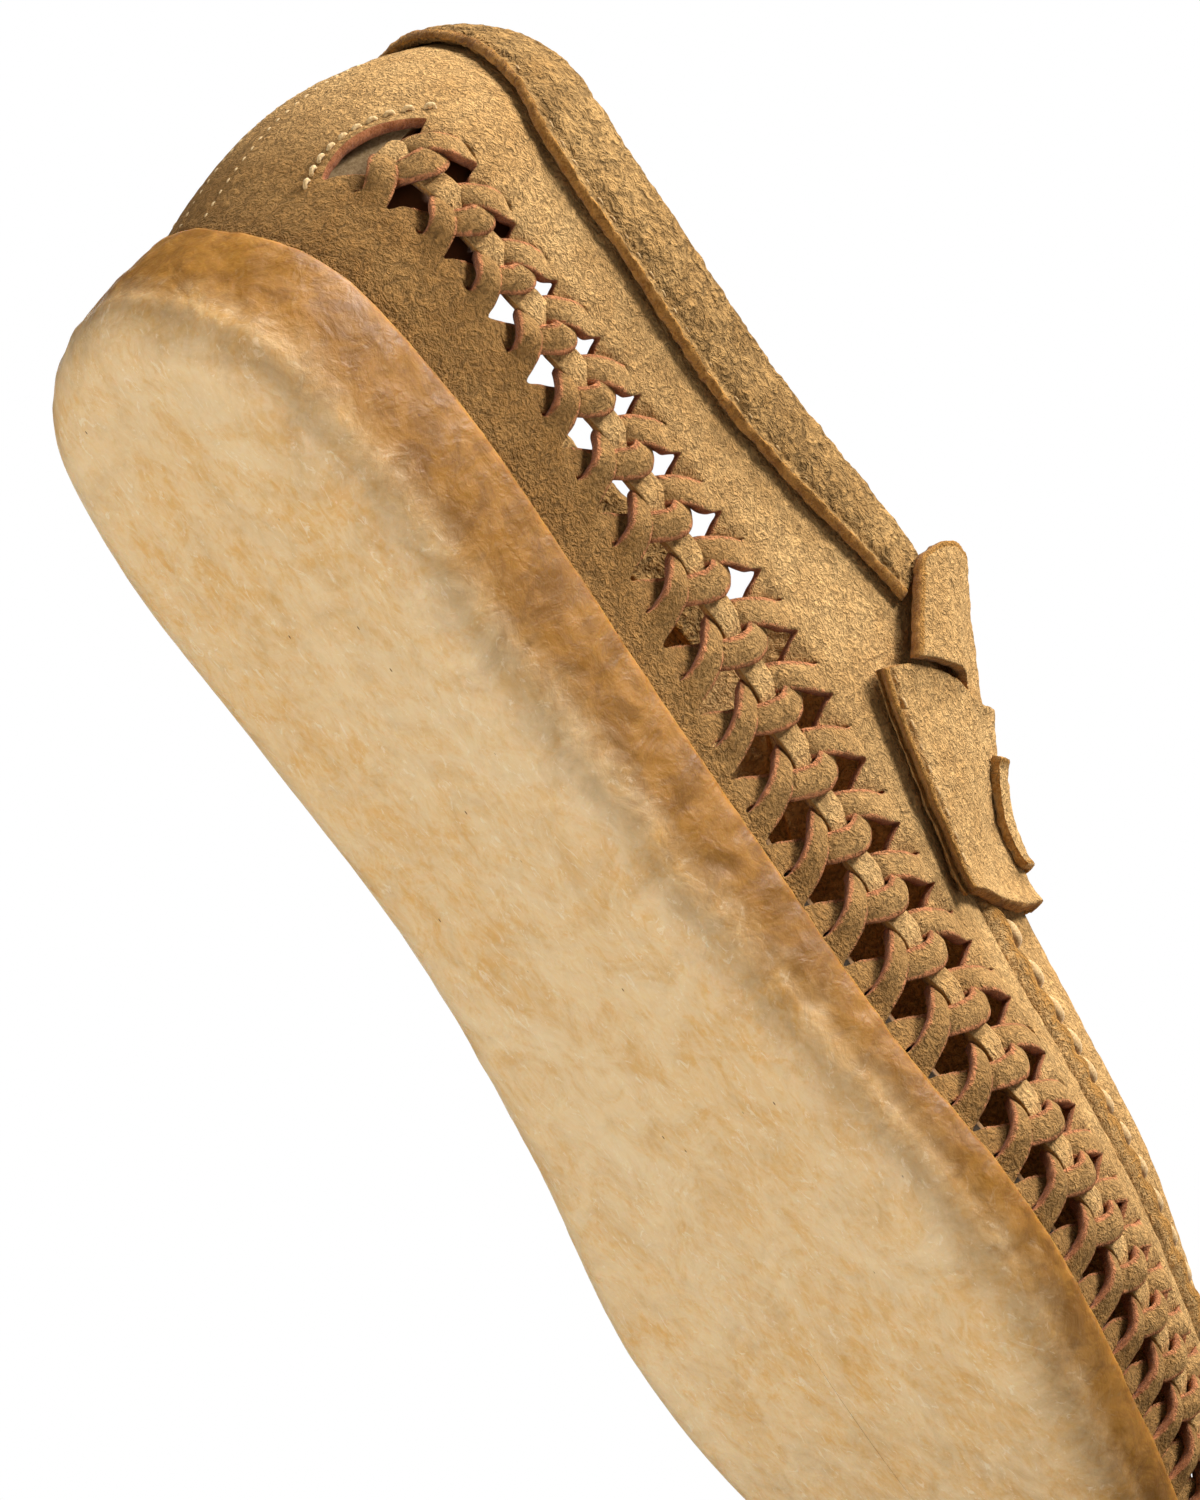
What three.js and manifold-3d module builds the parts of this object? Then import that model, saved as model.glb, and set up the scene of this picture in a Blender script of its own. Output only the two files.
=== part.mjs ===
// Woven suede penny moccasin on a natural crepe sole, right foot.
// Millimetres. +X runs from heel to toe, -Y is the lateral (outer) side, +Z is up.
// The origin is on the ground, below the middle of the sole's length.

import * as THREE from 'three';
import { mergeVertices } from 'three/addons/utils/BufferGeometryUtils.js';
import Module from 'manifold-3d';

const wasm = await Module();
wasm.setup();

// ---------------------------------------------------------------- driving dimensions

// Plan outline of the upper where it meets the sole, from the heel round the lateral side.
const FOOT_OUTLINE = [
  [-150, 0], [-137, -27], [-110, -34.5], [-70, -36], [-28, -38.5], [15, -44],
  [54, -49.5], [92, -41.5], [126, -26.5], [150, 6], [131, 34], [95, 46],
  [55, 48], [15, 37.5], [-28, 31], [-70, 33], [-110, 35], [-137, 27],
];

// Stations are [x, value]; values run smoothly between them.
const FEATHER_HEIGHT = [[-150, 27], [-90, 27], [-30, 23], [30, 17], [90, 18], [150, 22]];
const WALL_TOP = [
  [-150, 98], [-110, 88.5], [-70, 88.5], [-30, 91.5], [-15, 85], [0, 76],
  [15, 66.5], [50, 57], [90, 54], [125, 53], [150, 52],
];
const WALL_LEAN = [
  [-150, 8], [-110, 4.5], [-70, 6.5], [-30, 9.5], [-15, 12], [0, 15],
  [15, 18], [50, 18], [90, 15], [125, 14], [150, 14],
];
const HEEL_BULGE = [[-150, 7], [-125, 3.5], [-90, 1.2], [-50, 0.3], [0, 0], [150, 0]];
const APRON_CROWN = [[-24, 8], [-10, 11], [5, 13], [20, 12.5], [50, 12], [90, 9], [120, 4.5], [138, 0]];
const APRON_PUFF = [[-24, 7], [0, 9.5], [45, 11], [90, 11], [120, 7], [138, 2]];

// Woven band, [distance from the heel centre along the outline, height above the feather line].
const BAND_LOW = [[24, 15], [50, 16], [75, 12.5], [98, 10], [122, 6], [145, 2.5], [165, 0.7], [341, 0.7]];
const BAND_HIGH = [
  [27, 37], [50, 32.5], [98, 35], [122, 36], [165, 32], [195, 34], [223, 28.5], [262, 28], [341, 24],
];
const BAND_START = 24.3;
const UNIT_PITCH = [
  [29, 11], [60, 12], [130, 11.9], [200, 11.4], [225, 10.8], [250, 9.8], [280, 8.8], [341, 8.4],
];
// How far a strip's upper root lies toward the toe of its lower root.
const BAND_SKEW = [[24, 5.6], [35, 4.6], [52, 3.8], [124, 3.2], [200, 2.6], [300, 1], [341, 0]];
const STRIP_SHARE = 0.37;   // strip width as a share of the unit's pitch
const STRIP_THICK = 1.5;
const STRIP_ROOT_THICK = 0.75;  // inside the panels, so the roots stay under the suede's faces
const STRIP_ROOT_SHIFT = 0.27; // front strips leave the panel's face, back strips its flesh side
const LACE_WIDTH = 5;
const LACE_THICK = 1.6;

const LEATHER = 2;          // thickness of the wrap's suede
const GAP = 0.3;            // glue line or air between neighbouring pieces
const SEAT_DEPTH = 3;       // how far the wrap sits below the crepe's rim
const BOARD_THICK = 2;
const FOAM_THICK = 4;
const SOCK_THICK = 1.2;
const SLAB_INSET = 4.4;

const TOE_SPRING = 10;      // rise of the sole's underside at the toe
const TOE_SPRING_START = 55;
const CREPE_OVERHANG = 2;   // how far the sidewall swells beyond the upper
const CREPE_EDGE_ROUND = 4;

const COUNTER_STEPS = 3;     // reach to each side of the heel centre, in outline steps
const COUNTER_THICK = 1.5;
const LINING_STEPS = 6;
const LINING_THICK = 1;
const LINING_DEPTH = 4.3;   // lining's face below the wrap's outer face

const COLLAR_END = 140;     // distance from the heel centre to the throat, along the outline
const COLLAR_THICK = 1.6;
const COLLAR_EDGE = [[0, 64], [15, 62], [29, 56], [42, 49], [64, 46.5], [87, 47], [110, 51], [127, 56], [142, 61]];
const COLLAR_LINING_WIDTH = 9;

const APRON_THICK = 1.8;
const APRON_GAP = 0.6;
const APRON_PUFF_WIDTH = 8.5;  // the apron's roll beside its seam
const APRON_DROP = 1.5;     // the wrap's raw edge stands this far above the apron's edge
const APRON_START = 150;

const STRAP_FROM = 145;     // strap's heel corner, distance along the outline
const STRAP_TO = 182.5;     // strap's toe corner
const STRAP_END = [[0, 0.641], [0.29, 0.641], [0.5, 0.651], [0.71, 0.679], [1, 0.734]]; // side end's height share
const STRAP_CLIMB = [12, 7]; // how far the heel and toe edges run toward the toe on the wall
const STRAP_SWEEP = [13, 9]; // and how much further at the crown
const CLIMB_CURVE = 1.3;
const STRAP_THICK = 2;
// Extra height over the apron: clear of its thread at the toe edge, pressed down by the keeper.
const STRAP_LIFT = [[0, 1.7], [0.25, 0.9], [0.5, 0.5], [0.75, 0.4], [0.9, 1], [1, 1.6]];
const STRAP_CLEARANCE = 0.8;
const KEEPER_THICK = 2.1;
const KEEPER_END = 0.12;    // chord share of the keeper's side ends
const KEEPER_FROM = 0.25;   // shares of the strap's width
const KEEPER_TO = 0.8;

const TONGUE_THICK = 1.8;
const TONGUE_CROWN = [-22, 0, 18.5];  // from the strap to the tip, on the crown
const TONGUE_SIDE = [-12, 3.8, 17.5]; // and along the side edges
const TONGUE_SIDE_LOW = 0.77;
const TONGUE_STANDOFF = 3.2; // gap between the quarters and the tongue's sides
const TONGUE_LIFT = 1;
const TONGUE_ROOT_GAP = 0.12; // start of the tongue's free part, as a share of its length

const THREAD_RADIUS = 0.45;

const SIMPLIFY = 0.02;      // how far joining may move a face
const OUTLINE_STEPS = 84;
const COLOUR = {
  suede: 0xb4945f, nap: 0x8f7344, crepe: 0xe2bf8a, thread: 0xd9c391,
  lining: 0x7a4e2a, board: 0xa98c64, foam: 0x5c5a58, sock: 0xa07a4c,
};

// ---------------------------------------------------------------- curves and the wall

const outlineCurve = new THREE.CatmullRomCurve3(
  FOOT_OUTLINE.map(([x, y]) => new THREE.Vector3(x, y, 0)), true, 'centripetal');
outlineCurve.arcLengthDivisions = 1200;
const PERIMETER = outlineCurve.getLength();

// Cubic through the stations, with slopes taken between each station's neighbours.
function along(stations, x) {
  const last = stations.length - 1;
  const slope = (i) => {
    const [x0, y0] = stations[Math.max(i - 1, 0)];
    const [x1, y1] = stations[Math.min(i + 1, last)];
    return (y1 - y0) / (x1 - x0);
  };
  let i = 0;
  while (i < last - 1 && x > stations[i + 1][0]) i++;
  const [xa, ya] = stations[i];
  const [xb, yb] = stations[i + 1];
  const step = xb - xa;
  const t = THREE.MathUtils.clamp((x - xa) / step, 0, 1);
  const t2 = t * t;
  const t3 = t2 * t;
  return (2 * t3 - 3 * t2 + 1) * ya + (t3 - 2 * t2 + t) * step * slope(i)
    + (3 * t2 - 2 * t3) * yb + (t3 - t2) * step * slope(i + 1);
}

const wrapUnit = (u) => ((u % 1) + 1) % 1;

// Distance from the heel centre along the nearer side of the outline.
const sideDistance = (u) => Math.min(wrapUnit(u), 1 - wrapUnit(u)) * PERIMETER;

function outlinePoint(u, outward = 0) {
  const at = wrapUnit(u);
  const point = outlineCurve.getPointAt(at);
  const tangent = outlineCurve.getTangentAt(at);
  return new THREE.Vector3(point.x + tangent.y * outward, point.y - tangent.x * outward, 0);
}

// Point on the outside of the upper: u goes round the outline, v from the feather line to the edge.
function wallPoint(u, v) {
  const foot = outlinePoint(u);
  const bulge = along(HEEL_BULGE, foot.x) * Math.sin(Math.PI * v * 0.92);
  const low = along(FEATHER_HEIGHT, foot.x);
  const point = outlinePoint(u, bulge - along(WALL_LEAN, foot.x) * v * v);
  point.z = low + (along(WALL_TOP, foot.x) - low) * v;
  return point;
}

function wallNormal(u, v) {
  const step = 0.004;
  const round = wallPoint(u + step, v).sub(wallPoint(u - step, v));
  const up = wallPoint(u, v + step).sub(wallPoint(u, v - step));
  return round.cross(up).normalize();
}

// Wall point moved outward by depth (negative is inside) and up by lift.
function offWall(u, v, depth, lift = 0) {
  const point = wallPoint(u, v).addScaledVector(wallNormal(u, v), depth);
  point.z += lift;
  return point;
}

const wallHeight = (u) => {
  const x = outlinePoint(u).x;
  return along(WALL_TOP, x) - along(FEATHER_HEIGHT, x);
};
const bandV = (stations, u) => along(stations, sideDistance(u)) / wallHeight(u);

// Heights of the inner layers' undersides above the bed.
const boardLow = 2 * GAP + LEATHER;
const foamLow = boardLow + BOARD_THICK + GAP;
const sockLow = foamLow + FOAM_THICK + GAP;

const bedHeight = (x) => along(FEATHER_HEIGHT, x) - SEAT_DEPTH;
const soleBottom = (x) => TOE_SPRING
  * THREE.MathUtils.clamp((x - TOE_SPRING_START) / (150 - TOE_SPRING_START), 0, 1) ** 2;

// ---------------------------------------------------------------- solids

// Closed geometry from a point list and triangles: merges equal points, drops flat
// triangles and turns the faces outward.
function solid(points, triangles) {
  const raw = new THREE.BufferGeometry();
  raw.setAttribute('position', new THREE.Float32BufferAttribute(points.flatMap((p) => [p.x, p.y, p.z]), 3));
  raw.setIndex(triangles.flat());
  return closed(raw);
}

function closed(geometry) {
  geometry.deleteAttribute('normal');
  geometry.deleteAttribute('uv');
  const merged = mergeVertices(geometry, 1e-3);
  const position = merged.attributes.position;
  const index = merged.index.array;
  const kept = [];
  let volume = 0;
  const [a, b, c] = [new THREE.Vector3(), new THREE.Vector3(), new THREE.Vector3()];
  for (let i = 0; i < index.length; i += 3) {
    const [ia, ib, ic] = [index[i], index[i + 1], index[i + 2]];
    if (ia === ib || ib === ic || ia === ic) continue;
    kept.push(ia, ib, ic);
    a.fromBufferAttribute(position, ia);
    b.fromBufferAttribute(position, ib);
    c.fromBufferAttribute(position, ic);
    volume += a.dot(b.cross(c));
  }
  if (volume < 0) kept.reverse();
  merged.setIndex(kept);
  merged.computeVertexNormals();
  return merged;
}

// Solid between two grids of points, outer[i][j] and inner[i][j]. Cells that keep(i, j)
// turns down are openings. ring joins the last column to the first; joinedStart leaves the
// first row without an edge, where the two halves of a floor meet.
function thickSheet(outer, inner, { ring = false, joinedStart = false, keep = () => true } = {}) {
  const rows = outer.length;
  const columns = outer[0].length;
  const cellColumns = ring ? columns : columns - 1;
  const points = [...outer.flat(), ...inner.flat()];
  const innerStart = rows * columns;
  const id = (i, j) => i * columns + (j % columns);
  const exists = (i, j) => {
    if (i < 0 || i >= rows - 1) return false;
    if (!ring && (j < 0 || j >= cellColumns)) return false;
    return keep(i, (j + cellColumns) % cellColumns);
  };
  const triangles = [];
  const quad = (p, q, r, s) => triangles.push([p, q, r], [p, r, s]);
  const edge = (p, q) => quad(q, p, p + innerStart, q + innerStart);
  for (let i = 0; i < rows - 1; i++) {
    for (let j = 0; j < cellColumns; j++) {
      if (!exists(i, j)) continue;
      const [a, b, c, d] = [id(i, j), id(i + 1, j), id(i + 1, j + 1), id(i, j + 1)];
      quad(a, b, c, d);
      quad(d + innerStart, c + innerStart, b + innerStart, a + innerStart);
      if (!exists(i, j - 1)) edge(a, b);
      if (!exists(i + 1, j)) edge(b, c);
      if (!exists(i, j + 1)) edge(c, d);
      if (!exists(i - 1, j) && !(joinedStart && i === 0)) edge(d, a);
    }
  }
  return solid(points, triangles);
}

// Solid skinned over rings of equal length; the first and last rings lie folded on the centre line.
function ringSolid(rings) {
  const count = rings[0].length;
  const triangles = [];
  for (let i = 0; i < rings.length - 1; i++) {
    for (let j = 0; j < count; j++) {
      const next = (j + 1) % count;
      const [a, b] = [i * count + j, i * count + next];
      triangles.push([a, b, b + count], [a, b + count, a + count]);
    }
  }
  return solid(rings.flat(), triangles);
}

const outlineUnits = Array.from({ length: OUTLINE_STEPS }, (_, k) => k / OUTLINE_STEPS);

// Ring of the outline, moved outward, at a height that depends on x.
const levelRing = (outward, height) => outlineUnits.map((u) => {
  const point = outlinePoint(u, outward);
  point.z = height(point.x);
  return point;
});

// The same ring folded on the centre line, so the two sides meet there.
const centreRing = (outward, height) => outlineUnits.map((u) => {
  const point = outlinePoint(u, outward).add(outlinePoint(1 - u, outward)).multiplyScalar(0.5);
  point.z = height(point.x);
  return point;
});

// Flat layer inside the shoe, following the bed.
function layer(inset, low, thick) {
  const bottom = (x) => bedHeight(x) + low;
  const top = (x) => bedHeight(x) + low + thick;
  return ringSolid([
    centreRing(-inset, bottom), levelRing(-inset, bottom), levelRing(-inset, top), centreRing(-inset, top),
  ]);
}

// Round cord along a list of points.
function cord(points, steps, radius = THREAD_RADIUS) {
  const section = new THREE.Shape();
  const sides = 4;
  for (let i = 0; i < sides; i++) {
    const angle = (i / sides) * 2 * Math.PI;
    const spot = [radius * Math.cos(angle), radius * Math.sin(angle)];
    if (i === 0) section.moveTo(...spot);
    else section.lineTo(...spot);
  }
  section.closePath();
  const path = new THREE.CatmullRomCurve3(points, false, 'centripetal');
  return closed(new THREE.ExtrudeGeometry(section, { steps, extrudePath: path, bevelEnabled: false }));
}

function toManifold(geometry) {
  return new wasm.Manifold(new wasm.Mesh({
    numProp: 3,
    vertProperties: new Float32Array(geometry.attributes.position.array),
    triVerts: new Uint32Array(geometry.index.array),
  }));
}

function fromManifold(body) {
  const mesh = body.getMesh();
  const geometry = new THREE.BufferGeometry();
  geometry.setAttribute('position', new THREE.BufferAttribute(mesh.vertProperties, 3));
  geometry.setIndex(new THREE.BufferAttribute(mesh.triVerts, 1));
  geometry.computeVertexNormals();
  return geometry;
}

// The body of greatest volume, which fills the small voids where strips press together.
const largestBody = (body) => body.decompose().reduce((a, b) => (b.volume() > a.volume() ? b : a));

const range = (count, from, to) => Array.from(
  { length: count }, (_, i) => from + ((to - from) * i) / (count - 1));

// ---------------------------------------------------------------- sole and layers

function crepeSole() {
  const side = (share) => (x) => soleBottom(x) + (along(FEATHER_HEIGHT, x) - soleBottom(x)) * share;
  const rim = (drop) => (x) => along(FEATHER_HEIGHT, x) - drop;
  const under = (rise) => (x) => soleBottom(x) + rise;
  return ringSolid([
    centreRing(-CREPE_EDGE_ROUND, under(0)),
    levelRing(-CREPE_EDGE_ROUND, under(0)),
    levelRing(-1, under(0.7)),
    levelRing(0.6, under(3)),
    levelRing(CREPE_OVERHANG, side(0.5)),
    levelRing(CREPE_OVERHANG - 0.2, rim(1.2)),
    levelRing(1.2, rim(0)),
    levelRing(0.5, rim(0.2)),
    levelRing(0.4, bedHeight),
    centreRing(0.4, bedHeight),
  ]);
}

// ---------------------------------------------------------------- woven wrap

// Positions of the weave's units, from the lateral heel end round the toe to the medial one.
function unitPositions() {
  const half = [];
  let distance = BAND_START + along(UNIT_PITCH, BAND_START) / 2;
  while (distance < PERIMETER / 2 - along(UNIT_PITCH, PERIMETER / 2) * 0.25) {
    half.push(distance / PERIMETER);
    distance += along(UNIT_PITCH, distance);
  }
  return [...half, ...half.map((u) => -u).reverse()];
}

// One slit strip of a unit: it leaves one panel, crosses its partner, passes the lace on
// the side that turn gives (-1 behind it, +1 in front) and returns to the other panel.
// u is negative on the medial side.
function strip(u, turn) {
  const side = Math.sign(u);
  const pitch = along(UNIT_PITCH, sideDistance(u));
  const skew = along(BAND_SKEW, sideDistance(u));
  const middle = -LEATHER / 2;
  const passing = (STRIP_THICK + LACE_THICK) / 2 + GAP;
  const stations = [
    [-0.05, -turn, turn * STRIP_ROOT_SHIFT, STRIP_ROOT_THICK], [0.41, turn, turn * passing, STRIP_THICK],
    [0.69, turn, turn * passing, STRIP_THICK], [1.05, -turn, turn * STRIP_ROOT_SHIFT, STRIP_ROOT_THICK],
  ];
  const outer = [];
  const inner = [];
  for (const [t, shift, depth, thick] of stations) {
    const centre = u + side * ((shift * pitch) / 4 + skew * (t - 0.5)) / PERIMETER;
    const v = THREE.MathUtils.lerp(bandV(BAND_LOW, u), bandV(BAND_HIGH, u), t);
    const half = (STRIP_SHARE * pitch) / 2 / PERIMETER;
    const edges = [centre - half, centre + half];
    outer.push(edges.map((at) => offWall(at, v, middle + depth + thick / 2)));
    inner.push(edges.map((at) => offWall(at, v, middle + depth - thick / 2)));
  }
  return thickSheet(outer, inner);
}

// Heights on the wall at which the wrap and the pieces behind it share their edges.
const aboveBand = (share) => (u) => THREE.MathUtils.lerp(bandV(BAND_HIGH, u), 1, share);
const WALL_ROWS = [
  () => 0.03, (u) => bandV(BAND_LOW, u), (u) => bandV(BAND_HIGH, u), aboveBand(0.4), aboveBand(0.8), () => 1,
];

// The suede wrap: floor under the foot, lower panel, strips, and upper panel up to the
// topline at the quarters and to the raw edge beside the apron.
function moccasinWrap() {
  const floorZ = (x) => bedHeight(x) + GAP;
  const innerFloorZ = (x) => floorZ(x) + LEATHER;
  const inset = GAP + 0.2;
  const outer = [centreRing(-LEATHER - inset, floorZ), levelRing(-LEATHER - inset, floorZ), levelRing(-inset, floorZ)];
  const inner = [
    centreRing(-LEATHER - inset, innerFloorZ), levelRing(-LEATHER - inset, innerFloorZ),
    levelRing(-LEATHER - inset, (x) => innerFloorZ(x) + 0.3),
  ];
  const slitRow = outer.length + 1;
  for (const share of WALL_ROWS) {
    outer.push(outlineUnits.map((u) => offWall(u, share(u), 0)));
    inner.push(outlineUnits.map((u) => offWall(u, share(u), -LEATHER)));
  }
  const inBand = (j) => sideDistance((j + 0.5) / OUTLINE_STEPS) > BAND_START;
  const sheet = thickSheet(outer, inner, {
    ring: true, joinedStart: true, keep: (i, j) => i !== slitRow || !inBand(j),
  });
  let body = toManifold(sheet);
  for (const u of unitPositions()) {
    body = body.add(toManifold(strip(u, -1))).add(toManifold(strip(u, 1)));
  }
  return fromManifold(largestBody(body).simplify(SIMPLIFY));
}

// The lace runs the length of the band, between the front and back strips.
function wovenLace() {
  const start = (BAND_START + 3) / PERIMETER;
  const steps = 90;
  const outer = [];
  const inner = [];
  for (const u of range(steps, start, 1 - start)) {
    const v = THREE.MathUtils.lerp(bandV(BAND_LOW, u), bandV(BAND_HIGH, u), 0.55);
    const half = LACE_WIDTH / 2 / wallHeight(u);
    const edges = [v - half, v + half];
    outer.push(edges.map((at) => offWall(u, at, (LACE_THICK - LEATHER) / 2)));
    inner.push(edges.map((at) => offWall(u, at, -(LACE_THICK + LEATHER) / 2)));
  }
  return thickSheet(outer, inner);
}

// ---------------------------------------------------------------- heel and collar

// Sheet inside the wall, a number of outline steps to each side of the heel centre.
function wallPatch(steps, rows, face, thick) {
  const units = range(2 * steps + 1, -steps / OUTLINE_STEPS, steps / OUTLINE_STEPS);
  return thickSheet(
    rows.map((share) => units.map((u) => offWall(u, share(u), face))),
    rows.map((share) => units.map((u) => offWall(u, share(u), face - thick))));
}

const heelCounter = () => wallPatch(COUNTER_STEPS, WALL_ROWS.slice(0, 4), -LEATHER - GAP, COUNTER_THICK);

// The lining starts just above the sock liner and ends under the collar.
function heelLining() {
  const start = boardLow + BOARD_THICK + FOAM_THICK + SOCK_THICK + 3 * GAP - SEAT_DEPTH;
  const rows = [(u) => start / wallHeight(u), ...WALL_ROWS.slice(1, 5), aboveBand(0.92)];
  return wallPatch(LINING_STEPS, rows, -LINING_DEPTH, LINING_THICK);
}

const collarV = (u) => along(COLLAR_EDGE, sideDistance(u)) / wallHeight(u);

// The collar folds over the topline: a wide leg outside, a narrow one inside.
function collarBand() {
  const columns = range(35, -COLLAR_END, COLLAR_END).map((distance) => distance / PERIMETER);
  const back = -LEATHER - GAP;
  const section = (u) => {
    const low = collarV(u);
    const inside = 1 - COLLAR_LINING_WIDTH / wallHeight(u);
    const middle = (low + 1) / 2;
    return {
      outer: [
        offWall(u, low, GAP + COLLAR_THICK), offWall(u, middle, GAP + COLLAR_THICK),
        offWall(u, 1, GAP + COLLAR_THICK), offWall(u, 1, GAP, COLLAR_THICK + GAP),
        offWall(u, 1, back, COLLAR_THICK + GAP), offWall(u, 1, back - COLLAR_THICK),
        offWall(u, inside, back - COLLAR_THICK),
      ],
      inner: [
        offWall(u, low, GAP), offWall(u, middle, GAP), offWall(u, 0.995, GAP), offWall(u, 1, GAP, GAP),
        offWall(u, 1, back, GAP), offWall(u, 0.995, back), offWall(u, inside, back),
      ],
    };
  };
  const sections = columns.map(section);
  return thickSheet(sections.map((s) => s.outer), sections.map((s) => s.inner));
}

// Row of stitches standing on the wall along a path of [u, v] points.
const wallThread = (path, face, steps) => cord(
  path.map(([u, v]) => offWall(u, v, face + GAP + THREAD_RADIUS)), steps);

const collarThread = () => wallThread(
  range(50, -COLLAR_END + 3, COLLAR_END - 3).map((distance) => {
    const u = distance / PERIMETER;
    return [u, collarV(u) + 2 / wallHeight(u)];
  }), GAP + COLLAR_THICK, 56);

const backSeamThread = (side) => wallThread(
  range(8, 0.06, 0.72).map((v) => [wrapUnit((side * 3.4) / PERIMETER), v]), 0, 14);

// The row that binds the panel beside the first, curved slit.
const slitThread = (side) => wallThread(
  range(6, 0, 1).map((t) => {
    const distance = BAND_START - 6.5 + 5 * t * t;
    const u = wrapUnit((side * distance) / PERIMETER);
    return [u, THREE.MathUtils.lerp(0.2, 0.56, t)];
  }), 0, 10);

// ---------------------------------------------------------------- vamp

// Top of the apron: u picks the chord between the two sides, q runs across it.
function apronPoint(u, q) {
  const left = offWall(u, 1, -LEATHER - APRON_GAP, -APRON_DROP);
  const right = offWall(1 - u, 1, -LEATHER - APRON_GAP, -APRON_DROP);
  const point = left.clone().lerp(right, q);
  const toeEnd = THREE.MathUtils.clamp((outlinePoint(0.5).x - 16 - point.x) / 16, 0, 1);
  const roll = THREE.MathUtils.clamp(1 - Math.min(q, 1 - q) * left.distanceTo(right) / APRON_PUFF_WIDTH, 0, 1);
  const rise = along(APRON_CROWN, point.x) * (1 - Math.abs(2 * q - 1) ** 2.5)
    + along(APRON_PUFF, point.x) * (1 - roll ** 2);
  point.z += rise * (1 - (1 - toeEnd) ** 2);
  return point;
}

function apronNormal(u, q) {
  const step = 0.01;
  const at = THREE.MathUtils.clamp(q, step, 1 - step);
  const round = apronPoint(u + 0.004, at).sub(apronPoint(u - 0.004, at));
  const across = apronPoint(u, at + step).sub(apronPoint(u, at - step));
  return round.cross(across).normalize();
}

const offApron = (u, q, height) => apronPoint(u, q).addScaledVector(apronNormal(u, q), height);

function apron() {
  const start = APRON_START / PERIMETER;
  const shares = [0, 0.03, 0.08, 0.17, 0.32, 0.5, 0.68, 0.83, 0.92, 0.97, 1];
  const rows = range(26, start, 0.497);
  return thickSheet(
    rows.map((u) => shares.map((q) => offApron(u, q, 0))),
    rows.map((u) => shares.map((q) => offApron(u, q, -APRON_THICK))));
}

// Hand seam: one cord just inside the wrap's raw edge, down one side and back along the other.
function apronThread() {
  const start = (STRAP_TO + 6) / PERIMETER;
  const inset = 2.4;
  const spot = (u, side) => {
    const chord = apronPoint(u, 0).distanceTo(apronPoint(u, 1));
    const q = Math.min(inset / chord, 0.5);
    return offApron(u, side < 0 ? q : 1 - q, GAP + THREAD_RADIUS + 0.15);
  };
  const lateral = range(30, start, 0.482).map((u) => spot(u, -1));
  const medial = range(30, 0.482, start).map((u) => spot(u, 1));
  return cord([...lateral, ...medial], 72);
}

// Place on the outline under share a of the strap's width, at height share v of the wall and,
// on the apron, chord share q.
function strapUnit(a, v, q = 0) {
  const end = along(STRAP_END, a);
  const climb = Math.max((v - end) / (1 - end), 0) ** CLIMB_CURVE;
  return (THREE.MathUtils.lerp(STRAP_FROM, STRAP_TO, a)
    + THREE.MathUtils.lerp(...STRAP_CLIMB, a) * climb
    + THREE.MathUtils.lerp(...STRAP_SWEEP, a) * (1 - (2 * q - 1) ** 4)) / PERIMETER;
}

// Line across the vamp, at share a from the strap's heel edge to its toe edge. It climbs the
// lateral wall from height share start, crosses the apron, and comes down the medial wall,
// sweeping toward the toe in the middle.
function vampLine(a, start, wallDepth, apronHeight) {
  const climb = range(4, start, 1);
  const across = [0.05, 0.12, 0.22, 0.36, 0.5, 0.64, 0.78, 0.88, 0.95];
  const edgeLift = (v) => (v === 1 ? 0.5 : 0);
  const onWall = (v, side) => offWall(side * strapUnit(a, v), v, wallDepth, edgeLift(v));
  return [
    ...climb.map((v) => onWall(v, 1)),
    ...across.map((q) => offApron(strapUnit(a, 1, q), q, apronHeight)),
    ...climb.reverse().map((v) => onWall(v, -1)),
  ];
}

const strapSection = (a, height) => vampLine(
  a, along(STRAP_END, a), height, height + along(STRAP_LIFT, a));

function saddleStrap() {
  const shares = range(6, 0, 1);
  return thickSheet(
    shares.map((a) => strapSection(a, STRAP_CLEARANCE + STRAP_THICK)),
    shares.map((a) => strapSection(a, STRAP_CLEARANCE)));
}

function pennyKeeper() {
  const across = [0, 0.08, 0.2, 0.38, 0.62, 0.8, 0.92, 1].map(
    (share) => THREE.MathUtils.lerp(KEEPER_END, 1 - KEEPER_END, share));
  const grid = (height) => range(6, KEEPER_FROM, KEEPER_TO).map((a) => across.map(
    (q) => offApron(strapUnit(a, 1, q), q, height + along(STRAP_LIFT, a))));
  const under = STRAP_CLEARANCE + STRAP_THICK + GAP + 0.2;
  return thickSheet(grid(under + KEEPER_THICK), grid(under));
}

// Stitches in the groove beside the strap's side end.
const strapThread = (side) => {
  const points = range(6, 0.08, 0.92).map((a) => {
    const v = along(STRAP_END, a) + 0.06;
    return offWall(side * strapUnit(a, v), v, STRAP_CLEARANCE + STRAP_THICK + GAP + THREAD_RADIUS);
  });
  return cord(points, 10);
};

// Free part of the tongue: the vamp's section at the strap's heel edge, carried toward the
// heel, far and low on the crown, short and steep along the sides.
function tongue() {
  const [crown, lateral] = [TONGUE_CROWN, TONGUE_SIDE].map((way) => new THREE.Vector3(...way));
  const grid = (height) => {
    const root = vampLine(0, TONGUE_SIDE_LOW, TONGUE_STANDOFF + height, TONGUE_LIFT + height);
    return range(5, TONGUE_ROOT_GAP, 1).map((a) => root.map((point, j) => {
      const across = (2 * j) / (root.length - 1) - 1;
      const way = crown.clone().lerp(lateral, across ** 2);
      way.y *= -Math.sign(across);
      return point.clone().addScaledVector(way, a);
    }));
  };
  return thickSheet(grid(TONGUE_THICK), grid(0));
}

// ---------------------------------------------------------------- assembly

const shoe = new THREE.Group();

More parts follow.
